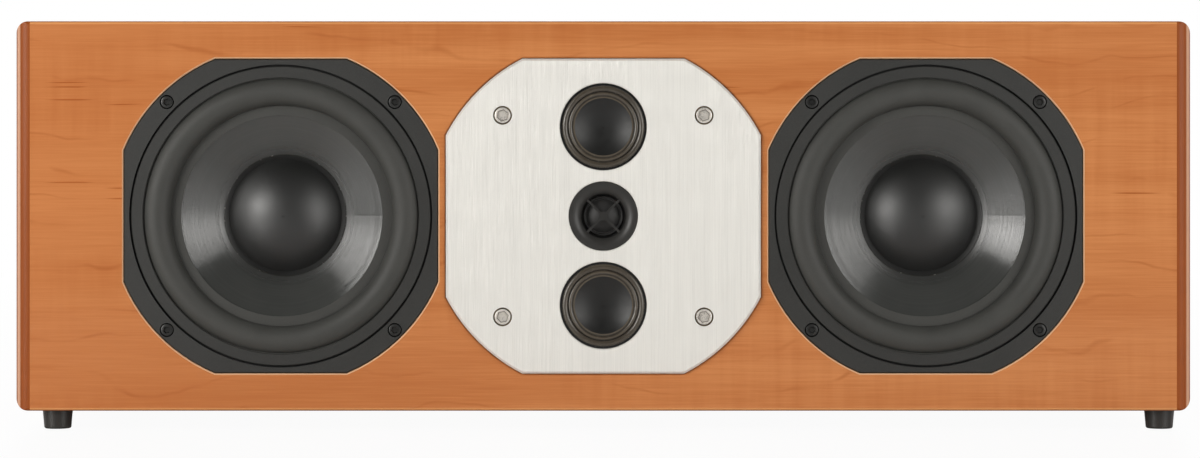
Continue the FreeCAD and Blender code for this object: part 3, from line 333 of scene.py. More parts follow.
def lacquered_wood(name, tones, along, look, dash=None, rebate_highlights=None, rim=None, hull=None):
    """Straight-grained wood of a light and a dark tone, under lacquer; along is the axis of the grain.

    A rebate highlight of (spot, half width of the flats, radius) is a painted highlight: a pale line round
    each woofer flange's rebate. A rim of (axis, middle, half size, width, colour) is a painted highlight
    along two rounded edges, with painted shade as a dark line on their outer margin. Hull is the two
    corners of the whole cabinet: a few millimetres under its outside the wood is bare fibre board.
    """
    light, dark = tones
    material, place = new_finish(name)
    axes = place.axes()

    def fibres(length, width, detail=2.0):
        scale = [1 / width] * 3
        scale[along] = 1 / length
        return place.stretched(scale).cloud(detail)

    fine = fibres(look.grain_length, look.grain_width, 3.0)
    hair = fibres(look.grain_length * 0.4, look.grain_width * 0.35)
    stripe, broad = fibres(0.42, 0.016), fibres(0.6, 0.09)
    curl = (fibres(0.007, 0.085) - 0.5) * fibres(0.12, 0.06).rise(0.42, 0.62)
    tone = swayed(curl * 0.45 + 0.5, (fine, 0.5), (hair, 0.3), (stripe, 0.8), (broad, 0.7))
    wood = tone.rise(0.12, 0.88).mix(dark, light)
    gloss = swayed(0.42, (fine, 0.16), (stripe, 0.1))
    coat = look.lacquer * (1.0 if dash else 0.1 if rim else 1 / 3)
    if dash:
        ring_gap, dash_length, dash_width = 0.021, 0.034, 0.0012
        # Painted shade: the front veneer grows darker towards its left end.
        wood = ((0 - axes[0]).rise(0.1, 0.32) * 0.3).mix(wood, dark)
        rings = axes[2] / ring_gap + fibres(0.11, 0.05, 1.0) * 2.6 + fibres(0.02, 0.02, 1.0) * 0.35
        line = rings.pingpong(0.5).rise(0.07, 0.0) * fibres(0.05, 0.012).rise(0.40, 0.66)
        wood = (line * 0.4).mix(wood, dash)
        spots = place.node("ShaderNodeCombineXYZ", {"X": axes[0] / dash_length, "Y": axes[2] / dash_width})
        away, chance = place.node("ShaderNodeTexVoronoi", {"Vector": spots, "Scale": 1.0},
                                  ("Distance", "Color"), voronoi_dimensions="2D")
        chance = place.node("ShaderNodeSeparateColor", {"Color": chance}, "Red")
        rare = 0.997 - 0.011 * (axes[2] * 3 - axes[0]).rise(0.35, 0.85)
        mark = (chance - rare).rise(0.0, 0.0005) * away.rise(0.5, 0.2)
        wood = (mark * 0.85).mix(wood, dash)
    if rebate_highlights:
        spot, half, round_radius = rebate_highlights
        aside, upright, radius = ring_place(place, spot)
        outside = (abs(aside).larger(abs(upright)) - half).larger(radius - round_radius)
        # Painted highlight: a pale line on the wood just outside each woofer flange, as if the rebate's eased
        # edge caught the light.
        wood = (band(outside, 0.0004, 0.0012, 0.0001) * 0.75).mix(wood, tint(244, 200, 160))
    if rim:
        axis, centre, half, width, pale = rim
        # Painted highlight: the pale colour is laid along the rounded edges, and painted shade makes a dark
        # line on their outer margin.
        inward = half - abs(axes[axis] - centre)
        wood = (band(inward, width * 0.4, width, width * 0.2) * 0.6).mix(wood, pale)
        painted_brink_shade = 1 - inward.rise(0.0002, 0.0007)
        wood = (painted_brink_shade * 0.6).mix(wood, tint(96, 52, 28))
        coat = (1 - painted_brink_shade) * coat
    if hull:
        depths = [(high - low) / 2 - abs(axis - (low + high) / 2) for axis, low, high in zip(axes, *hull)]
        bare = depths[0].smaller(depths[1].smaller(depths[2])).rise(VENEER - 0.0003, VENEER + 0.0003)
        chip = place.cloud(3.0, 0.7, 1400.0)
        wood = bare.mix(wood, chip.rise(0.2, 0.8).mix(BOARD_DARK, BOARD_LIGHT))
        gloss = gloss + bare * 0.35
        coat = coat * (1 - bare)
    return apply_sockets(material, base_color=wood, roughness=gloss, coat_weight=coat, coat_roughness=0.06,
                         specular_ior_level=0.15, normal=(fine * 0.7 + hair * 0.3).relief(0.00003))


def textured_paint(name, colour, pitch=0.0006, roughness=0.55):
    """Paint with a fine leathery texture."""
    material, place = new_finish(name)
    grit = place.cloud(2.0, 0.6, 1 / pitch)
    speck = place.cloud(0.0, 0.5, 2.6 / pitch)
    patch = place.cloud(2.0, 0.5, 18.0)
    return apply_sockets(material,
                         base_color=mottled(colour, 0.72, 1.32, (grit, 0.9), (speck, 0.7), (patch, 0.5)),
                         roughness=swayed(roughness, (patch, 0.14), (grit, 0.2)),
                         normal=(grit * 0.7 + speck * 0.3).relief(0.00012, 0.6))


def moulded_rubber(name, colour, roughness=0.6, pitch=0.0009):
    """Rubber with a dull bloom and a faint mould texture."""
    material, place = new_finish(name)
    bloom = place.cloud(3.0, 0.6, 55.0)
    pore = place.cloud(1.0, 0.5, 1 / pitch)
    return apply_sockets(material, base_color=mottled(colour, 0.85, 1.16, (bloom, 0.8), (pore, 0.35)),
                         roughness=swayed(roughness, (bloom, 0.22)), normal=pore.relief(0.00005, 0.5))


def moulded_plastic(name, colour, roughness, pitch=0.0008, depth=0.00003, coat=0.0, shine=0.5, painted_glint=None):
    """Plastic with a satin skin and slight flow marks; a painted highlight colour, if given, stands in small
    dots.
    """
    material, place = new_finish(name)
    skin = place.cloud(2.0, 0.5, 1 / pitch)
    flow = place.cloud(3.0, 0.6, 40.0)
    colour_now = mottled(colour, 0.84, 1.15, (skin, 0.4), (flow, 0.8), spread=0.45)
    if painted_glint:
        # Painted highlight: bright dots in the colour stand in for glints of light.
        colour_now = place.cloud(0.0, 0.5, 1 / pitch).rise(0.68, 0.76).mix(colour_now, painted_glint)
    return apply_sockets(material, base_color=colour_now, coat_weight=coat, specular_ior_level=shine,
                         roughness=swayed(roughness, (flow, 0.16), (skin, 0.1)),
                         normal=skin.relief(depth, 0.6))


def worked_metal(name, colour, roughness, pitch=0.0005, wear=0.12, metallic=1.0, sideways_shade=None):
    """Turned or plated metal with fine scratches and a little tarnish; a painted shade colour, if given,
    darkens what faces sideways.
    """
    material, place = new_finish(name)
    scratch = place.stretched((1 / pitch, 0.15 / pitch, 1 / pitch)).cloud(3.0, 0.6)
    stain = place.cloud(3.0, 0.55, 120.0)
    colour_now = mottled(colour, 1 - 2 * wear, 1 + wear, (stain, 0.9), (scratch, 0.4))
    if sideways_shade:
        # Painted shade: faces that turn sideways, such as socket walls, take the darker colour.
        colour_now = front_share(place).rise(0.35, 0.97).mix(sideways_shade, colour_now)
    return apply_sockets(material, base_color=colour_now, metallic=metallic,
                         roughness=swayed(roughness, (scratch, 0.2), (stain, 0.15)),
                         normal=scratch.relief(0.00002, 0.4))


def woven_cloth(name, colour, pitch, roughness, flat=(0, 2)):
    """Coated cloth: crossing threads in two axes, softened by the coating."""
    material, place = new_finish(name)
    axes = place.axes()
    warp, weft = [(axes[axis] * (2 * math.pi / pitch)).sine() for axis in flat]
    weave = warp * weft * 0.5 + 0.5
    slub = place.cloud(3.0, 0.6, 260.0)
    patch = place.cloud(2.0, 0.5, 45.0)
    colour_now = mottled(colour, 0.74, 1.26, (weave, 0.35), (slub, 0.6), (patch, 0.6), spread=0.45)
    return apply_sockets(material, base_color=colour_now, sheen_weight=0.08,
                         roughness=swayed(roughness, (slub, 0.2), (weave, 0.06)),
                         normal=(weave * 0.6 + slub * 0.4).relief(0.00005, 0.55))


def speckled_board(name, light, dark, pitch=0.0007, roughness=0.7):
    """Pressed or sintered stuff with specks of two shades."""
    material, place = new_finish(name)
    speck = place.cloud(3.0, 0.7, 1 / pitch)
    patch = place.cloud(2.0, 0.5, 30.0)
    tone = swayed(0.5, (speck, 1.1), (patch, 0.4))
    return apply_sockets(material, base_color=tone.rise(0.15, 0.85).mix(dark, light),
                         roughness=swayed(roughness, (speck, 0.2)), normal=speck.relief(0.00008, 0.6))


def banded_stuff(name, base, stripe, axis, pitch, share, roughness, metallic=0.0):
    """Stuff with even stripes across one axis, such as wound wire or a wrapped tube."""
    material, place = new_finish(name)
    wave = (place.axes()[axis] * (2 * math.pi / pitch)).sine() * 0.5 + 0.5
    stain = place.cloud(3.0, 0.6, 180.0)
    mask = swayed(wave, (stain, 0.25)).rise(share - 0.08, share + 0.08)
    return apply_sockets(material, base_color=mask.mix(base, stripe), metallic=metallic,
                         roughness=swayed(roughness, (stain, 0.25)), normal=wave.relief(0.00004, 0.6))


def brushed_plate(name, look):
    """Aluminium brushed up and down: each stroke leans the normal a little to one side."""
    material, place = new_finish(name)

    def strokes(width, length, *character):
        return place.stretched((1 / width, 60.0, 1 / length)).cloud(*character)

    stroke = strokes(look.stroke_width, look.stroke_length, 2.0, 0.6)
    hair = strokes(look.stroke_width / 13, look.stroke_length / 3, 1.0)
    wide = strokes(0.004, 0.2, 2.0)
    tilt = swayed(0.0, (hair, 2.8), (stroke, 0.3)) * look.stroke_tilt
    metal = mottled(look.metal, 0.92, 1.04, (stroke, 1.0), (wide, 0.3))
    x, y, z = place.axes()
    centre, (low, high) = middle("driver_plate"), separate_boxes("plate_screws")[-1]
    aside = abs(x) - (low.x + high.x) / 2
    upright = abs(z - centre.z) - ((low.z + high.z) / 2 - centre.z)
    # Painted shade: the counterbores round the plate's screws get a darker brown.
    bore_shade = 1 - aside.span(upright).rise(COUNTERBORE - 0.0002, COUNTERBORE + 0.0002)
    bore_shade = bore_shade * (y - PLATE_FRONT).rise(0.0001, 0.0005)
    across = place.node("ShaderNodeCombineXYZ", {"X": 1.0})
    return apply_sockets(material, base_color=bore_shade.mix(metal, tint(176, 150, 112)), metallic=0.4,
                         roughness=swayed(0.44, (stroke, 0.12), (wide, 0.06)), normal=leaned(across, tilt))


def spun_cone(name, centre, cap, look):
    """Cone with fine grooves around its axis, which spread reflections into fans; rougher near the cap, with
    a painted shadow of the cap darkening the cone there.
    """
    material, place = new_finish(name)
    spoke = place.stretched((1.0, 0.0, 1.0), centre)
    radius = spoke.vector("LENGTH")
    groove = (radius / look.groove_pitch).streak(2.0)
    hair = (radius / (look.groove_pitch * 0.03)).streak(0.0)
    patch = place.cloud(2.0, 0.5, 40.0)
    tilt = swayed(0.55, (hair, 2.8), (groove, 0.16)) * look.groove_tilt
    # Painted shade: a shadow of the dust cap, darker and rougher on the cone near the cap.
    painted_cap_shadow = 1 - radius.rise(cap, cap + 0.009)
    skin = mottled(look.cone, 0.88, 1.12, (groove, 0.5), (patch, 0.7))
    return apply_sockets(material, base_color=(painted_cap_shadow * 0.6).mix(skin, shaded(look.cone, 0.4)), ior=1.82,
                         roughness=swayed(painted_cap_shadow * 0.14 + 0.17, (groove, 0.08), (patch, 0.06)),
                         normal=leaned(spoke.vector("NORMALIZE"), tilt))


def felt_wool(name, light, dark):
    """Pressed wool felt with loose fibres."""
    material, place = new_finish(name)
    fibre = place.stretched((2200.0, 700.0, 900.0)).cloud(4.0, 0.7)
    tuft = place.cloud(3.0, 0.6, 220.0)
    tone = swayed(0.5, (fibre, 1.0), (tuft, 0.8))
    return apply_sockets(material, base_color=tone.rise(0.1, 0.9).mix(dark, light), sheen_weight=0.3,
                         roughness=swayed(0.9, (tuft, 0.1)),
                         normal=(fibre * 0.5 + tuft * 0.5).relief(0.0006, 0.7))


def give(material, *nodes):
    """Put a finish on CAD nodes."""
    for name in nodes:
        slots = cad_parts[name].data.materials
        if slots:
            slots[0] = material
        else:
            slots.append(material)


def both(part):
    """Names of the left and the right node of a part."""
    return [side + "_" + part for side in SIDES]


def middle(node):
    low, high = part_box(node)
    return (low + high) / 2


def reach(node):
    """Radius of a round node, seen from the front."""
    low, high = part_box(node)
    return (high.x - low.x) / 2


def separate_boxes(node):
    """Lowest and highest corners of each loose part of a CAD node."""
    copy = bmesh.new()
    copy.from_mesh(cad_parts[node].data)
    bmesh.ops.remove_doubles(copy, verts=copy.verts, dist=1e-6)
    boxes, left = [], set(copy.verts)
    while left:
        part, front = set(), [left.pop()]
        while front:
            vertex = front.pop()
            part.add(vertex.co.copy().freeze())
            for edge in vertex.link_edges:
                other = edge.other_vert(vertex)
                if other in left:
                    left.remove(other)
                    front.append(other)
        boxes.append((Vector([min(p[i] for p in part) for i in range(3)]),
                      Vector([max(p[i] for p in part) for i in range(3)])))
    copy.free()
    return sorted(boxes, key=lambda box: tuple(round(v, 4) for v in box[0]))


def in_scene(name, data):
    """New object of some data, in the scene."""
    made = bpy.data.objects.new(name, data)
    bpy.context.scene.collection.objects.link(made)
    return made


def smoothed(mesh, angle):
    """Give a mesh smooth faces and crisp corners from an angle in degrees on."""
    mesh.shade_smooth()
    mesh.set_sharp_from_angle(angle=math.radians(angle))


def piece_of(name, build, material):
    """Object of a bmesh, with its faces pointing outwards."""
    bmesh.ops.recalc_face_normals(build, faces=build.faces)
    mesh = bpy.data.meshes.new(name)
    build.to_mesh(mesh)
    build.free()
    mesh.materials.append(material)
    smoothed(mesh, CRISP)
    return in_scene(name, mesh)


def arc(start, crest, end, steps):
    """Points of the circle through three outline points, without the first."""
    (ax, ay), (bx, by), (cx, cy) = start, crest, end
    double = 2 * (ax * (by - cy) + bx * (cy - ay) + cx * (ay - by))
    a2, b2, c2 = ax * ax + ay * ay, bx * bx + by * by, cx * cx + cy * cy
    ux = (a2 * (by - cy) + b2 * (cy - ay) + c2 * (ay - by)) / double
    uy = (a2 * (cx - bx) + b2 * (ax - cx) + c2 * (bx - ax)) / double
    radius = math.hypot(ax - ux, ay - uy)
    first, halfway, last = (math.atan2(y - uy, x - ux) for x, y in (start, crest, end))
    sweep = (last - first) % (2 * math.pi)
    if (halfway - first) % (2 * math.pi) > sweep:
        sweep -= 2 * math.pi
    turns = (first + sweep * step / steps for step in range(1, steps + 1))
    return [(ux + radius * math.cos(t), uy + radius * math.sin(t)) for t in turns]


def rolled(flat, rolls, rim, seat, wall):
    """Outline of a cloth edge: a flat of some radii, half rolls of (outer radius, height, steps), a rim."""
    face, inner = seat - wall, flat[-1]
    front, back = [(r, face) for r in flat], [(r, seat) for r in flat]
    for outer, height, steps in rolls:
        for line, level in ((front, face), (back, seat)):
            line += arc((inner, level), ((inner + outer) / 2, level - height), (outer, level), steps)
        inner = outer
    return front + [(rim, face), (rim, seat)] + back[::-1]


def turned(name, outlines, centre, material):
    """Closed ring about the line along Y through a centre, from its outlines of (radius, y) points."""
    build = bmesh.new()
    rings = [[build.verts.new((centre.x + r * c, y, centre.z + r * s)) for r, y in outline]
             for (c, s), outline in zip(CIRCLE, outlines)]
    for here, after in zip(rings, rings[1:] + rings[:1]):
        for index in range(len(here)):
            build.faces.new((here[index - 1], here[index], after[index], after[index - 1]))
    return piece_of(name, build, material)


def flex(piece, centre, outer, inner):
    """Bake a turned piece into world space and work out a weight for each vertex from its outer radius to its
    inner one; the weight is not kept.
    """
    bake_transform(piece)
    for vertex in piece.data.vertices:
        radius = math.hypot(vertex.co.x - centre.x, vertex.co.z - centre.z)
        t = min(1.0, max(0.0, (outer - radius) / (outer - inner)))
        t * t * (3 - 2 * t)


def grown(name, points, tree, values, angle):
    """Object of what a node tree grows on some points, as a plain mesh without a modifier."""
    seeds = bpy.data.meshes.new(name)
    seeds.from_pydata(points, [], [])
    holder = in_scene(name, seeds)
    modifier = holder.modifiers.new("Growth", "NODES")
    modifier.node_group = tree
    for item in tree.interface.items_tree:
        if item.in_out == "INPUT" and item.name in values:
            modifier[item.identifier] = values[item.name]
    graph = bpy.context.evaluated_depsgraph_get()
    mesh = bpy.data.meshes.new_from_object(holder.evaluated_get(graph), depsgraph=graph)
    holder.modifiers.remove(modifier)
    if not mesh.polygons:
        raise RuntimeError(f"{name} has no faces")
    holder.data = mesh
    smoothed(mesh, angle)
    return holder


def new_tree(name, inputs):
    """Geometry tree with named sizes and whole counts, and the threads of its inputs by name."""
    tree = bpy.data.node_groups.new(name, "GeometryNodeTree")
    new_socket = tree.interface.new_socket
    new_socket("Points", in_out="INPUT", socket_type="NodeSocketGeometry")
    for label, default in inputs.items():
        kind = "NodeSocketInt" if isinstance(default, int) else "NodeSocketFloat"
        new_socket(label, in_out="INPUT", socket_type=kind).default_value = default
    new_socket("Pieces", in_out="OUTPUT", socket_type="NodeSocketGeometry")
    entry = tree.nodes.new("NodeGroupInput")
    return tree, {socket.name: Thread(tree, socket) for socket in entry.outputs if socket.name}


def lifted(shape, z):
    spot = shape.node("ShaderNodeCombineXYZ", {"Z": z})
    return shape.node("GeometryNodeTransform", {"Geometry": shape, "Translation": spot})


def joined(*shapes):
    return shapes[0].node("GeometryNodeJoinGeometry", {"Geometry": list(shapes)})


def settled(instances, material):
    """Make instances real, give them a finish and hand them to their tree's output."""
    tree = instances.tree
    real = instances.node("GeometryNodeRealizeInstances", {"Geometry": instances})
    done = instances.node("GeometryNodeSetMaterial", {"Geometry": real, "Material": material})
    tree.links.new(done.socket, tree.nodes.new("NodeGroupOutput").inputs[0])
    return tree


def socket_screws(material):
    """Tree that sets a socket-head screw, facing the front, on every point."""
    tree, given = new_tree("Socket screws", {
        "Head radius": 0.0036, "Head height": 0.004, "Head edge": 0.0006, "Socket width": 0.003,
        "Socket mouth": 0.0004, "Socket depth": 0.0022, "Shank radius": 0.002, "Shank length": 0.018,
        "Turn seed": 7})
    ink = Thread(tree)
    radius, height, edge = given["Head radius"], given["Head height"], given["Head edge"]
    corner, mouth = given["Socket width"] / math.sqrt(3), given["Socket mouth"]
    depth, shank, length = given["Socket depth"], given["Shank radius"], given["Shank length"]
    many = 48  # sides of the round parts

    def wall(sides, r, deep):
        return ink.node("GeometryNodeMeshCylinder", {"Vertices": sides, "Radius": r, "Depth": deep},
                        fill_type="NONE")

    def slope(top, bottom, deep, sides=many):
        sizes = {"Vertices": sides, "Radius Top": top, "Radius Bottom": bottom, "Depth": deep}
        return ink.node("GeometryNodeMeshCone", sizes, fill_type="NONE")

    def disc(sides, r):
        return ink.node("GeometryNodeMeshCircle", {"Vertices": sides, "Radius": r}, fill_type="NGON")

    def between(*rings):
        circles = [ink.node("GeometryNodeCurvePrimitiveCircle", {"Resolution": sides, "Radius": r})
                   for sides, r in rings]
        return ink.node("GeometryNodeFillCurve", {"Curve": joined(*circles)})

    def flipped(shape):
        return ink.node("GeometryNodeFlipFaces", {"Mesh": shape})

    lean, brim, tip = edge * 0.28, mouth * 1.4, shank * 0.6
    bend = radius - edge * 0.3
    screw = joined(
        between((many, radius - edge), (6, corner + mouth)),
        lifted(slope(radius - edge, bend, lean), 0 - lean),
        lifted(slope(bend, radius, edge), 0 - lean - edge),
        lifted(wall(many, radius, height - lean - edge), (height + lean + edge) * -0.5),
        lifted(flipped(between((many, radius), (many, shank))), 0 - height),
        lifted(flipped(slope(corner + mouth, corner, brim, 6)), 0 - brim),
        lifted(flipped(wall(6, corner, depth - brim)), (depth + brim) * -0.5),
        lifted(disc(6, corner), 0 - depth),
        lifted(wall(many, shank, length - tip), 0 - height - (length - tip) * 0.5),
        lifted(slope(shank, shank * 0.5, tip), 0 - height - length),
        lifted(flipped(disc(many, shank * 0.5)), 0 - height - length))
    screw = ink.node("GeometryNodeMergeByDistance", {"Geometry": screw, "Distance": 0.000002})
    set_in = ink.node("GeometryNodeInstanceOnPoints", {
        "Points": given["Points"], "Instance": screw, "Rotation": (math.pi / 2, 0.0, 0.0)})
    any_turn = ink.node("FunctionNodeRandomValue", {2: 0.0, 3: math.pi, 8: given["Turn seed"]}, 1,
                        data_type="FLOAT")
    turn = ink.node("ShaderNodeCombineXYZ", {"Z": any_turn})
    return settled(ink.node("GeometryNodeRotateInstances", {
        "Instances": set_in, "Rotation": turn, "Local Space": True}), material)


def wound_coils(material):
    """Tree that winds an upright air-cored coil of wire on every point."""
    tree, given = new_tree("Wound coils", {
        "Inner radius": 0.008, "Outer radius": 0.018, "Height": 0.016, "Wire radius": 0.0006,
        "Wire sides": 6})
    ink = Thread(tree)
    wire, tall = given["Wire radius"], given["Height"]
    inside, outside = given["Inner radius"] + wire, given["Outer radius"] - wire
    climb, pitch = tall - wire * 2, wire * 2.02
    profile = ink.node("GeometryNodeCurvePrimitiveCircle", {
        "Resolution": given["Wire sides"], "Radius": wire})

    def winding(first, last, rise, turns, z):
        path = ink.node("GeometryNodeCurveSpiral", {
            "Resolution": 40, "Rotations": turns, "Start Radius": first, "End Radius": last, "Height": rise})
        return lifted(ink.node("GeometryNodeCurveToMesh", {
            "Curve": path, "Profile Curve": profile, "Fill Caps": True}), z)

    coil = joined(
        winding(outside, outside, climb, climb / pitch, wire),
        winding(inside, inside, climb, climb / pitch, wire),
        winding(inside, outside, 0.0, (outside - inside) / pitch, tall - wire),
        winding(inside, outside, 0.0, (outside - inside) / pitch, wire))
    return settled(ink.node("GeometryNodeInstanceOnPoints", {
        "Points": given["Points"], "Instance": coil}), material)


class LOUDSPEAKER_OT_cabinet(bpy.types.Operator):
    """Veneer the cabinet, finish the corner strips and the feet"""
    bl_idname = "loudspeaker.cabinet"
    bl_label = "Cabinet woods and feet"

    def execute(self, context):
        look = context.scene.loudspeaker_cabinet
        veneer, strip = (look.veneer_light, look.veneer_dark), (look.strip_light, look.strip_dark)
        lying, standing = ("top_panel", "bottom_panel", "rear_panel"), both("side_panel")
        # Painted highlight: a pale line round each woofer flange on the front veneer.
        rebate_highlights = (middle("right_woofer_basket"), reach("right_woofer_basket"),
                   context.scene.loudspeaker_woofers.flange_round)
        low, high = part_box("front_baffle")
        # Painted highlights: a pale line along the front's top and bottom edges, and a pale band along the
        # corner strips' rounded outer edges; both get a painted dark line on their outer margin.
        edges = (2, (low.z + high.z) / 2, (high.z - low.z) / 2, 0.0017, tint(232, 166, 106))
        corners = (0, 0.0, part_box("right_corner_strip")[1].x, 0.0032, tint(240, 196, 166))
        panels = [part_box(name) for name in ("front_baffle", *lying, *standing)]
        hull = ([min(low[i] for low, _ in panels) for i in range(3)],
                [max(high[i] for _, high in panels) for i in range(3)])
        give(lacquered_wood("Front veneer", veneer, 0, look, look.veneer_dash, rebate_highlights, edges, hull),
             "front_baffle")
        give(lacquered_wood("Cabinet veneer along", veneer, 0, look, hull=hull), *lying)
        give(lacquered_wood("Cabinet veneer upright", veneer, 2, look, hull=hull), *standing)
        give(lacquered_wood("Corner strip wood", strip, 2, look, rim=corners), *both("corner_strip"))
        give(moulded_rubber("Foot rubber", look.foot_colour, roughness=0.42), "rubber_feet")
        give(speckled_board("Fibre board", BOARD_LIGHT, BOARD_DARK), "mid_enclosure")
        return {"FINISHED"}


class LOUDSPEAKER_OT_woofer_frames(bpy.types.Operator):
    """Paint the woofers' frames and trim rings"""
    bl_idname = "loudspeaker.woofer_frames"
    bl_label = "Woofer frames"

    def execute(self, context):
        look = context.scene.loudspeaker_woofers
        ring = "right_woofer_trim_ring"
        # Painted shade: the groove between the trim ring and the flange is painted nearly black.
        groove = (reach(ring) - 0.0002, reach(ring) + 0.0011, 1.0, tint(6, 6, 6))
        give(ringed(textured_paint("Frame paint", look.paint), middle(ring), groove, soft=0.00015),
             *both("woofer_basket"))
        give(textured_paint("Trim ring paint", look.paint, pitch=0.0005), *both("woofer_trim_ring"))
        give(moulded_rubber("Gasket foam", tint(38, 38, 38), roughness=0.85, pitch=0.0004), "woofer_gaskets",
             "plate_gasket")
        return {"FINISHED"}


class LOUDSPEAKER_OT_woofer_surrounds(bpy.types.Operator):
    """Turn the rubber surrounds and the spiders, which lie between the frame and the cone"""
    bl_idname = "loudspeaker.woofer_surrounds"
    bl_label = "Woofer surrounds and spiders"

    def execute(self, context):
        look = context.scene.loudspeaker_woofers
        rubber = moulded_rubber("Surround rubber", look.rubber)
        cloth = woven_cloth("Spider cloth", tint(172, 140, 84), pitch=0.0009, roughness=0.8)
        for side in SIDES:
            self.surround(side, rubber, look)
            self.spider(side, cloth, look.spider_waves)
        return {"FINISHED"}

    def surround(self, side, rubber, look):
        """Half roll between the clamped flat and the lip on the cone."""
        node = side + "_woofer_surround"
        centre, rim = middle(node), reach(node)
        crest, lip = (corner.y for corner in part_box(node))
        wall, seat = look.rubber_thickness, crest + look.roll_height
        outer = rim - look.clamped_width
        inner = outer - look.roll_width
        edge, top = inner - look.lip_width, (outer + inner) / 2
        outline = [(edge, lip), (edge, lip - wall), (inner, lip - wall)]
        outline += arc((inner, lip - wall), (top, crest), (outer, seat), 36)
        outline += [(rim, seat), (rim, seat + wall), (outer - wall, seat + wall)]
        outline += arc((outer - wall, seat + wall), (top, crest + wall), (inner + wall, lip), 36)
        surround = turned(side + "_surround_roll", [outline] * STEPS, centre, rubber)
        flex(surround, centre, outer, inner)
        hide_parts(node)

    def spider(self, side, cloth, waves):
        """Corrugated disc between the basket's ledge and the voice coil's former."""
        node = side + "_woofer_spider"
        centre, rim = middle(node), reach(node)
        low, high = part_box(node)
        winding, shell, inner_flat, outer_flat = 0.0004, 0.0006, 0.0035, 0.004
        neck = reach(side + "_woofer_voice_coil") - winding
        wave, level = (high.y - low.y - shell) / 2, (low.y + high.y - shell) / 2
        start, stop = neck + inner_flat, rim - outer_flat
        count = waves * 14
        front = [(neck, level)]
        for step in range(count + 1):
            share = step / count
            front.append((start + (stop - start) * share, level - wave * math.sin(math.pi * waves * share)))
        front.append((rim, level))
        outline = front + [(r, y + shell) for r, y in reversed(front)]
        spider = turned(side + "_spider_disc", [outline] * STEPS, centre, cloth)
        flex(spider, centre, stop, start)
        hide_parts(node)


class LOUDSPEAKER_OT_cones(bpy.types.Operator):
    """Finish the cones and dust caps, and lay the glue bead around each cap"""
    bl_idname = "loudspeaker.cones"
    bl_label = "Cones and dust caps"

    def execute(self, context):
        look = context.scene.loudspeaker_woofers
        skin = moulded_plastic("Dust cap skin", look.cap, roughness=0.46, pitch=0.0012, depth=0.00004,
                               shine=1.0)
        # The glue gets painted highlights as bright dots.
        glue = moulded_plastic("Clear glue", tint(66, 65, 61), roughness=0.2, pitch=0.0011, depth=0.0002,
                               coat=0.6, painted_glint=tint(196, 194, 188))
        for seed, side in enumerate(SIDES):
            cone, cap = side + "_woofer_cone", side + "_woofer_dust_cap"
            give(spun_cone(side.capitalize() + " cone skin", middle(cone), reach(cap), look), cone)
            give(skin, cap)
            bead = turned(side + "_cap_glue_bead", self.bead(cap, look.bead_radius, seed), middle(cone), glue)
            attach(bead, side + "_cone")
        give(banded_stuff("Voice coil winding", tint(150, 84, 46), tint(196, 120, 70), axis=1, pitch=0.0008,
                          share=0.5, roughness=0.3, metallic=1.0), *both("woofer_voice_coil"))
        return {"FINISHED"}

    def bead(self, cap, thick, seed):
        """Outlines of an uneven bead where the cap's rim meets the cone."""
        sides, below, spill = 8, 0.0026, 0.0002
        rim, level = reach(cap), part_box(cap)[1].y - below
        turns = [2 * math.pi * corner / sides for corner in range(sides)]
        outlines = []
        for c, s in CIRCLE:
            wave = noise.noise(Vector((9 * c + 7 * seed, 9 * s, 0.3)))
            ripple = noise.noise(Vector((40 * c, 40 * s, 5.0 + seed)))
            here = thick * (1 + 0.22 * wave + 0.2 * ripple)
            out = rim + spill + spill * wave
            outlines.append([(out + here * math.cos(turn), level + here * math.sin(turn)) for turn in turns])
        return outlines


class LOUDSPEAKER_OT_screws(bpy.types.Operator):
    """Set the socket screws of the woofers and of the plate"""
    bl_idname = "loudspeaker.screws"
    bl_label = "Socket screws"

    def execute(self, context):
        look = context.scene.loudspeaker_screws
        black = worked_metal("Black screw steel", look.black, roughness=0.34, metallic=0.3)
        # The bright screws' socket walls get painted shade.
        bright = worked_metal("Bright screw steel", look.bright, roughness=0.3, metallic=0.45,
                              sideways_shade=tint(86, 78, 66))
        self.set_screws("woofer_screws", "black_screw", black, look, {
            "Socket width": look.woofer_socket, "Head radius": 0.0036, "Head height": 0.004,
            "Shank radius": 0.002})
        self.set_screws("plate_screws", "bright_screw", bright, look, {
            "Socket width": look.plate_socket, "Head radius": 0.0047, "Head height": 0.0034,
            "Shank radius": 0.003})
        give(black, "terminal_cup_screws")
        give(bright, "crossover_screws")
        return {"FINISHED"}

    def set_screws(self, node, slot, material, look, sizes):
        boxes, height = separate_boxes(node), sizes["Head height"]
        low, high = boxes[0]
        tops = [((low.x + high.x) / 2, low.y, (low.z + high.z) / 2) for low, high in boxes]
        holder = grown(node + "_set", tops, socket_screws(material), {
            **sizes, "Head edge": look.edge, "Socket mouth": look.mouth, "Socket depth": height * 0.3,
            "Shank length": high.y - low.y - height, "Turn seed": look.seed}, angle=30)
        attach(holder, "cabinet")
        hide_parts(node)


class LOUDSPEAKER_OT_driver_plate(bpy.types.Operator):
    """Brush the metal plate"""
    bl_idname = "loudspeaker.driver_plate"
    bl_label = "Metal plate"

    def execute(self, context):
        give(brushed_plate("Brushed aluminium", context.scene.loudspeaker_plate), "driver_plate")
        return {"FINISHED"}


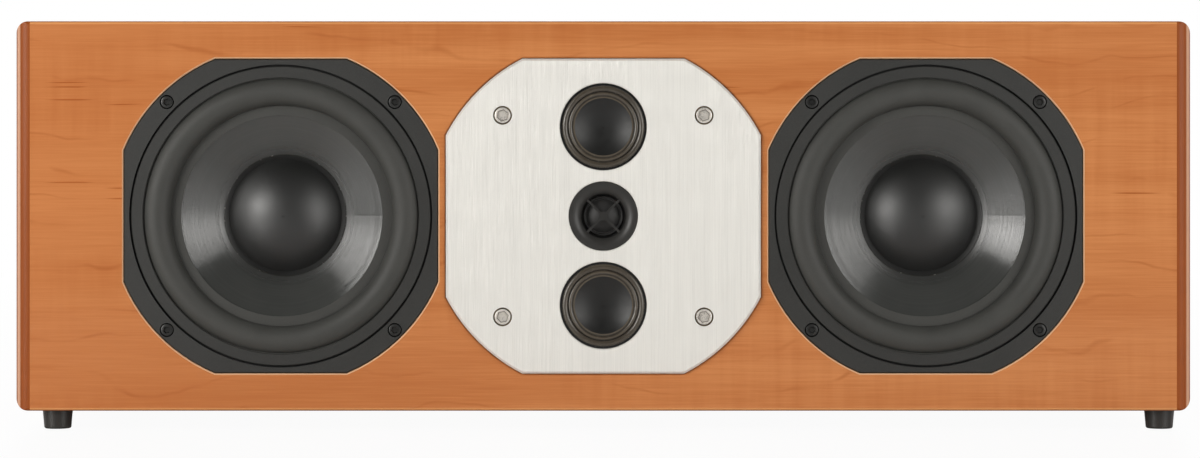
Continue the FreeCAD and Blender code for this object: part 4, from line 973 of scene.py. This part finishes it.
class LOUDSPEAKER_OT_midranges(bpy.types.Operator):
    """Turn the midranges' surrounds and finish their domes"""
    bl_idname = "loudspeaker.midranges"
    bl_label = "Midranges"

    def execute(self, context):
        look = context.scene.loudspeaker_plate
        dome_cloth = woven_cloth("Midrange dome cloth", look.mid_dome, pitch=0.0006, roughness=0.42)
        frame_plastic = moulded_plastic("Midrange frame plastic", tint(34, 34, 33), roughness=0.5)
        for mid in MIDS:
            self.surround(mid, look)
            give(dome_cloth, mid + "_mid_dome")
            give(frame_plastic, mid + "_mid_frame")
        return {"FINISHED"}

    def surround(self, mid, look):
        """Large roll next to the frame and a small one next to the dome, with painted highlights on the crest
        and the inner edge, painted shade in the valleys and a black ring of painted shade round the clamped
        edge.
        """
        clamped, roll_width, ripple_width, lip_width, wall = 0.0009, 0.0034, 0.0025, 0.0013, 0.0005
        node = mid + "_mid_surround"
        centre, rim = middle(node), reach(node)
        roll = rim - clamped
        valley = roll - roll_width
        lip = valley - ripple_width
        edge, crest = lip - lip_width, (lip + valley) / 2
        # Painted highlight and painted shade: pale rings on the crest and the inner edge, dark rings in the
        # valleys, and a black ring at the clamped edge.
        pale, deep = shaded(look.mid_edge, 2.2), shaded(look.mid_edge, 0.3)
        cloth = woven_cloth(mid.capitalize() + " midrange surround cloth", look.mid_edge, pitch=0.0005,
                            roughness=0.22)
        apply_sockets(cloth, specular_ior_level=0.8)
        ringed(cloth, centre, (edge, edge + 0.0006, 0.5, pale), (lip - 0.0004, lip + 0.0003, 0.6, deep),
               (crest - 0.0003, crest + 0.0003, 0.4, pale), (valley - 0.0004, valley + 0.0004, 0.6, deep),
               (roll, rim + 0.001, 1.0, tint(12, 12, 11)))
        rolls = ((valley, look.mid_ripple_height, 14), (roll, look.mid_roll_height, 26))
        outline = rolled((edge, lip), rolls, rim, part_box(node)[1].y, wall)
        surround = turned(mid + "_surround_rolls", [outline] * STEPS, centre, cloth)
        flex(surround, centre, roll, lip)
        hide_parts(node)


class LOUDSPEAKER_OT_tweeter(bpy.types.Operator):
    """Turn the tweeter's surround and finish its face, guard and dome"""
    bl_idname = "loudspeaker.tweeter"
    bl_label = "Tweeter"

    def execute(self, context):
        look = context.scene.loudspeaker_plate
        clamped, gap, wall, roll_height = 0.0025, 0.0001, 0.0004, 0.0008
        node = "tweeter_surround"
        centre, rim = middle(node), reach(node)
        outer, inner = rim - clamped, reach("tweeter_dome") + gap
        outline = rolled((inner,), ((outer, roll_height, 18),), rim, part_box(node)[1].y, wall)
        cloth = woven_cloth("Tweeter edge cloth", tint(26, 25, 24), pitch=0.0003, roughness=0.5)
        surround = turned("tweeter_surround_roll", [outline] * STEPS, centre, cloth)
        flex(surround, centre, outer, inner)
        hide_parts(node)
        guard_reach, throat_reach = 0.0104, 0.0128
        plastic = moulded_plastic("Tweeter face plastic", look.tweeter_face, roughness=0.42, pitch=0.0007)
        # Painted shade: the guard and dome area is darkened, and the throat's wall, where it faces sideways,
        # is painted nearly black.
        sideways = 1 - front_share(Thread(plastic.node_tree)).rise(0.5, 0.9)
        give(ringed(plastic, centre, (-0.001, guard_reach, 0.3, tint(8, 8, 8)),
                    (guard_reach, throat_reach, sideways * 0.9, tint(2, 2, 2))), "tweeter_faceplate")
        give(woven_cloth("Tweeter silk", look.tweeter_dome, pitch=0.0003, roughness=0.5), "tweeter_dome")
        return {"FINISHED"}


class LOUDSPEAKER_OT_terminals(bpy.types.Operator):
    """Finish the terminal cup and its binding posts"""
    bl_idname = "loudspeaker.terminals"
    bl_label = "Terminals"

    def execute(self, context):
        give(textured_paint("Cup plastic", tint(34, 34, 34), pitch=0.0008, roughness=0.5), "terminal_cup")
        give(worked_metal("Gilt brass", tint(226, 186, 108), roughness=0.22), "binding_posts",
             "red_post_washer", "black_post_washer")
        for hue, colour in (("red", tint(168, 24, 22)), ("black", tint(26, 26, 26))):
            give(moulded_plastic(hue.capitalize() + " nut plastic", colour, roughness=0.26, depth=0.00002,
                                 coat=0.5), hue + "_post_cap")
        return {"FINISHED"}


class LOUDSPEAKER_OT_inner_parts(bpy.types.Operator):
    """Finish the motors, the crossover, the leads and the felt inside the cabinet"""
    bl_idname = "loudspeaker.inner_parts"
    bl_label = "Inner parts"

    def execute(self, context):
        give(worked_metal("Zinc plate", tint(186, 186, 176), roughness=0.36, pitch=0.0007, wear=0.18),
             *both("woofer_top_plate"), *both("woofer_yoke"), "lower_mid_motor", "upper_mid_motor",
             "tweeter_motor")
        give(speckled_board("Ferrite", tint(66, 65, 64), tint(44, 44, 44), pitch=0.0006, roughness=0.62),
             *both("woofer_magnet"))
        give(woven_cloth("Board laminate", tint(58, 92, 62), pitch=0.0012, roughness=0.45, flat=(0, 1)),
             "crossover_board")
        give(banded_stuff("Capacitor wrap", tint(206, 170, 64), tint(188, 148, 48), axis=0, pitch=0.004,
                          share=0.6, roughness=0.35), "crossover_capacitors")
        give(moulded_plastic("Lead sleeve", tint(120, 26, 24), roughness=0.5, pitch=0.0005), "wiring_leads")
        self.coils()
        self.felt()
        return {"FINISHED"}

    def coils(self):
        node = "crossover_inductors"
        copper = worked_metal("Enamelled copper", tint(190, 104, 56), roughness=0.28, pitch=0.0006)
        boxes = separate_boxes(node)
        low, high = boxes[0]
        feet = [((low.x + high.x) / 2, (low.y + high.y) / 2, low.z) for low, high in boxes]
        holder = grown("wound_inductors", feet, wound_coils(copper), {
            "Inner radius": 0.008, "Outer radius": (high.x - low.x) / 2, "Height": high.z - low.z,
            "Wire radius": 0.0007, "Wire sides": 6}, angle=80)
        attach(holder, "cabinet")
        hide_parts(node)

    def felt(self):
        """Felt slabs with soft edges and an uneven surface, each in the space of its pad."""
        border, soften, lumps, fill, swell, inset = 0.1, 0.34, 42, 0.9, 0.08, 0.99
        pads = bmesh.new()
        for index, (low, high) in enumerate(separate_boxes("damping_lining")):
            size, centre = high - low, (low + high) / 2
            slab = bmesh.ops.create_cube(pads, size=1.0)["verts"]
            edges = list({e for v in slab for e in v.link_edges})
            bmesh.ops.subdivide_edges(pads, edges=edges, cuts=23, use_grid_fill=True)
            pads.verts.ensure_lookup_table()
            thin = min(range(3), key=lambda i: size[i])
            flat = [i for i in range(3) if i != thin]
            for vertex in pads.verts:
                if vertex.tag:
                    continue
                vertex.tag = True
                margin = max(2 * abs(vertex.co[i]) for i in flat)
                spot = Vector([c * s for c, s in zip(vertex.co, size)])
                drop = 1 - soften * max(0.0, (margin - (1 - border)) / border) ** 2
                lump = noise.noise(spot * lumps + Vector((index * 3.1, 0, 0)))
                spot[thin] *= drop * (fill + swell * lump)
                for i in flat:
                    spot[i] *= inset
                vertex.co = centre + spot
        wool = felt_wool("Wool felt", tint(150, 148, 142), tint(108, 106, 102))
        piece = piece_of("felt_lining", pads, wool)
        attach(piece, "cabinet")
        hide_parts("damping_lining")


class LOUDSPEAKER_OT_stage(bpy.types.Operator):
    """Lay the pale floor, hang the lamps and set the camera"""
    bl_idname = "loudspeaker.stage"
    bl_label = "Stage"

    def execute(self, context):
        scene, look = context.scene, context.scene.loudspeaker_stage
        scene.view_settings.view_transform = "Standard"
        self.floor(look)
        self.room(scene, look)
        self.lamps(look)
        lens = bpy.data.cameras.new("Camera")
        lens.sensor_fit, lens.sensor_width = "HORIZONTAL", 36.0
        lens.lens = lens.sensor_width * look.camera_distance / look.frame_width
        lens.shift_y = (look.frame_middle - look.camera_height) / look.frame_width
        lens.clip_start, lens.clip_end = 0.05, 60.0
        camera = in_scene("Camera", lens)
        camera.location = (look.camera_aside, PLATE_FRONT - look.camera_distance, look.camera_height)
        camera.rotation_euler = (math.pi / 2, 0.0, 0.0)
        scene.camera = camera
        return {"FINISHED"}

    def lamps(self, look):
        """Two softboxes in front, rolled and fading towards their edges, and one behind."""
        aim = Vector((0.0, FRONT, middle("driver_plate").z))
        for name, spot, size, power in (
                ("Left softbox", (-1.33, FRONT - 1.14, 0.50), (0.76, 0.98), look.left_power),
                ("Right softbox", (1.20, FRONT - 1.03, 0.43), (0.92, 1.04), look.right_power),
                ("Rear softbox", (0.0, 1.5, 1.25), (1.6, 0.8), look.rear_power)):
            data = bpy.data.lights.new(name, "AREA")
            data.shape, data.size, data.size_y, data.energy = "RECTANGLE", size[0], size[1], power
            data.color = look.lamp_colour[:3]
            if spot[0]:
                self.fade(data)
            lamp = in_scene(name, data)
            lamp.location = spot
            facing = (aim - lamp.location).to_track_quat("-Z", "Y")
            roll = look.lamp_roll * ((spot[0] > 0) - (spot[0] < 0))
            lamp.rotation_euler = (facing @ Quaternion((0.0, 0.0, 1.0), roll)).to_euler()

    def fade(self, data):
        """Let a softbox grow dim towards its lower and upper edges."""
        data.use_nodes = True
        up = Thread(data.node_tree).node("ShaderNodeNewGeometry", out="Parametric").axes()[1]
        emission = next(n for n in data.node_tree.nodes if n.bl_idname == "ShaderNodeEmission")
        glow = up.rise(-0.25, 0.42) * (1.17 - 0.57 * up.rise(0.5, 1.05))
        data.node_tree.links.new(glow.socket, emission.inputs["Strength"])

    def floor(self, look):
        """Pale floor that the camera sees nearly white, with the shadow kept near the loudspeaker."""
        ground = bmesh.new()
        bmesh.ops.create_grid(ground, x_segments=2, y_segments=2, size=14.0)
        mesh = bpy.data.meshes.new("floor")
        ground.to_mesh(mesh)
        ground.free()
        material, place = new_finish("Pale floor")
        patch = place.cloud(2.0, 0.5, 3.0)
        apply_sockets(material, roughness=0.3, specular_ior_level=0.5,
                      base_color=patch.mix(shaded(look.floor_colour, 0.98), look.floor_colour))
        away = place.vector("LENGTH").rise(0.5, 2.6)
        seen = place.node("ShaderNodeLightPath", out="Is Camera Ray")
        glow = place.node("ShaderNodeEmission", {"Color": (1.0, 1.0, 1.0, 1.0), "Strength": 1.0})
        nodes = material.node_tree.nodes
        shader = Thread(material.node_tree, nodes["Principled BSDF"].outputs[0])
        both_ways = place.node("ShaderNodeMixShader", {0: seen * (0.95 + away * 0.05), 1: shader, 2: glow})
        material.node_tree.links.new(both_ways.socket, nodes["Material Output"].inputs[0])
        mesh.materials.append(material)
        in_scene("floor", mesh)

    def room(self, scene, look):
        """White behind the loudspeaker for the camera and for glossy rays, an even dim light all round."""
        world = bpy.data.worlds.new("Studio")
        world.use_nodes = True
        scene.world = world
        ink = Thread(world.node_tree)
        behind = ink.node("ShaderNodeTexCoord", out="Generated").axes()[1].rise(0.0, 0.5)
        seen, glossy, through = ink.node("ShaderNodeLightPath", out=(
            "Is Camera Ray", "Is Glossy Ray", "Is Transmission Ray"))
        shiny = glossy.larger(through)
        dim = shiny.mix((look.room, look.room, look.room, 1.0), (0.06, 0.06, 0.06, 1.0))
        white = seen.larger(shiny * behind)
        backdrop = world.node_tree.nodes["Background"]
        world.node_tree.links.new(white.mix(dim, (1.0, 1.0, 1.0, 1.0)).socket, backdrop.inputs["Color"])
        backdrop.inputs["Strength"].default_value = 1.0


class LOUDSPEAKER_PT_dressing(bpy.types.Panel):
    """Pieces and settings of the loudspeaker"""
    bl_idname = "LOUDSPEAKER_PT_dressing"
    bl_label = "Loudspeaker"
    bl_space_type = "VIEW_3D"
    bl_region_type = "UI"
    bl_category = "Loudspeaker"

    def draw(self, context):
        for operator in OPERATORS:
            self.layout.operator(operator.bl_idname)
        for name, group in SETTINGS.items():
            box = self.layout.box()
            box.label(text=group.__doc__)
            for key in group.__annotations__:
                box.prop(getattr(context.scene, name), key)


SETTINGS = {
    "loudspeaker_cabinet": CabinetLook,
    "loudspeaker_woofers": WooferLook,
    "loudspeaker_plate": PlateLook,
    "loudspeaker_screws": ScrewLook,
    "loudspeaker_stage": StageLook,
}
OPERATORS = (
    LOUDSPEAKER_OT_cabinet,
    LOUDSPEAKER_OT_woofer_frames,
    LOUDSPEAKER_OT_woofer_surrounds,
    LOUDSPEAKER_OT_cones,
    LOUDSPEAKER_OT_screws,
    LOUDSPEAKER_OT_driver_plate,
    LOUDSPEAKER_OT_midranges,
    LOUDSPEAKER_OT_tweeter,
    LOUDSPEAKER_OT_terminals,
    LOUDSPEAKER_OT_inner_parts,
    LOUDSPEAKER_OT_stage,
)


def register():
    for group in SETTINGS.values():
        bpy.utils.register_class(group)
    for name, group in SETTINGS.items():
        setattr(bpy.types.Scene, name, PointerProperty(type=group))
    for operator in OPERATORS:
        bpy.utils.register_class(operator)
    bpy.utils.register_class(LOUDSPEAKER_PT_dressing)


def unregister():
    bpy.utils.unregister_class(LOUDSPEAKER_PT_dressing)
    for operator in reversed(OPERATORS):
        bpy.utils.unregister_class(operator)
    for name in SETTINGS:
        delattr(bpy.types.Scene, name)
    for group in reversed(list(SETTINGS.values())):
        bpy.utils.unregister_class(group)


def main():
    register()
    bpy.ops.loudspeaker.cabinet()
    bpy.ops.loudspeaker.woofer_frames()
    bpy.ops.loudspeaker.woofer_surrounds()
    bpy.ops.loudspeaker.cones()
    bpy.ops.loudspeaker.screws()
    bpy.ops.loudspeaker.driver_plate()
    bpy.ops.loudspeaker.midranges()
    bpy.ops.loudspeaker.tweeter()
    bpy.ops.loudspeaker.terminals()
    bpy.ops.loudspeaker.inner_parts()
    bpy.ops.loudspeaker.stage()


if __name__ == "__main__":
    main()
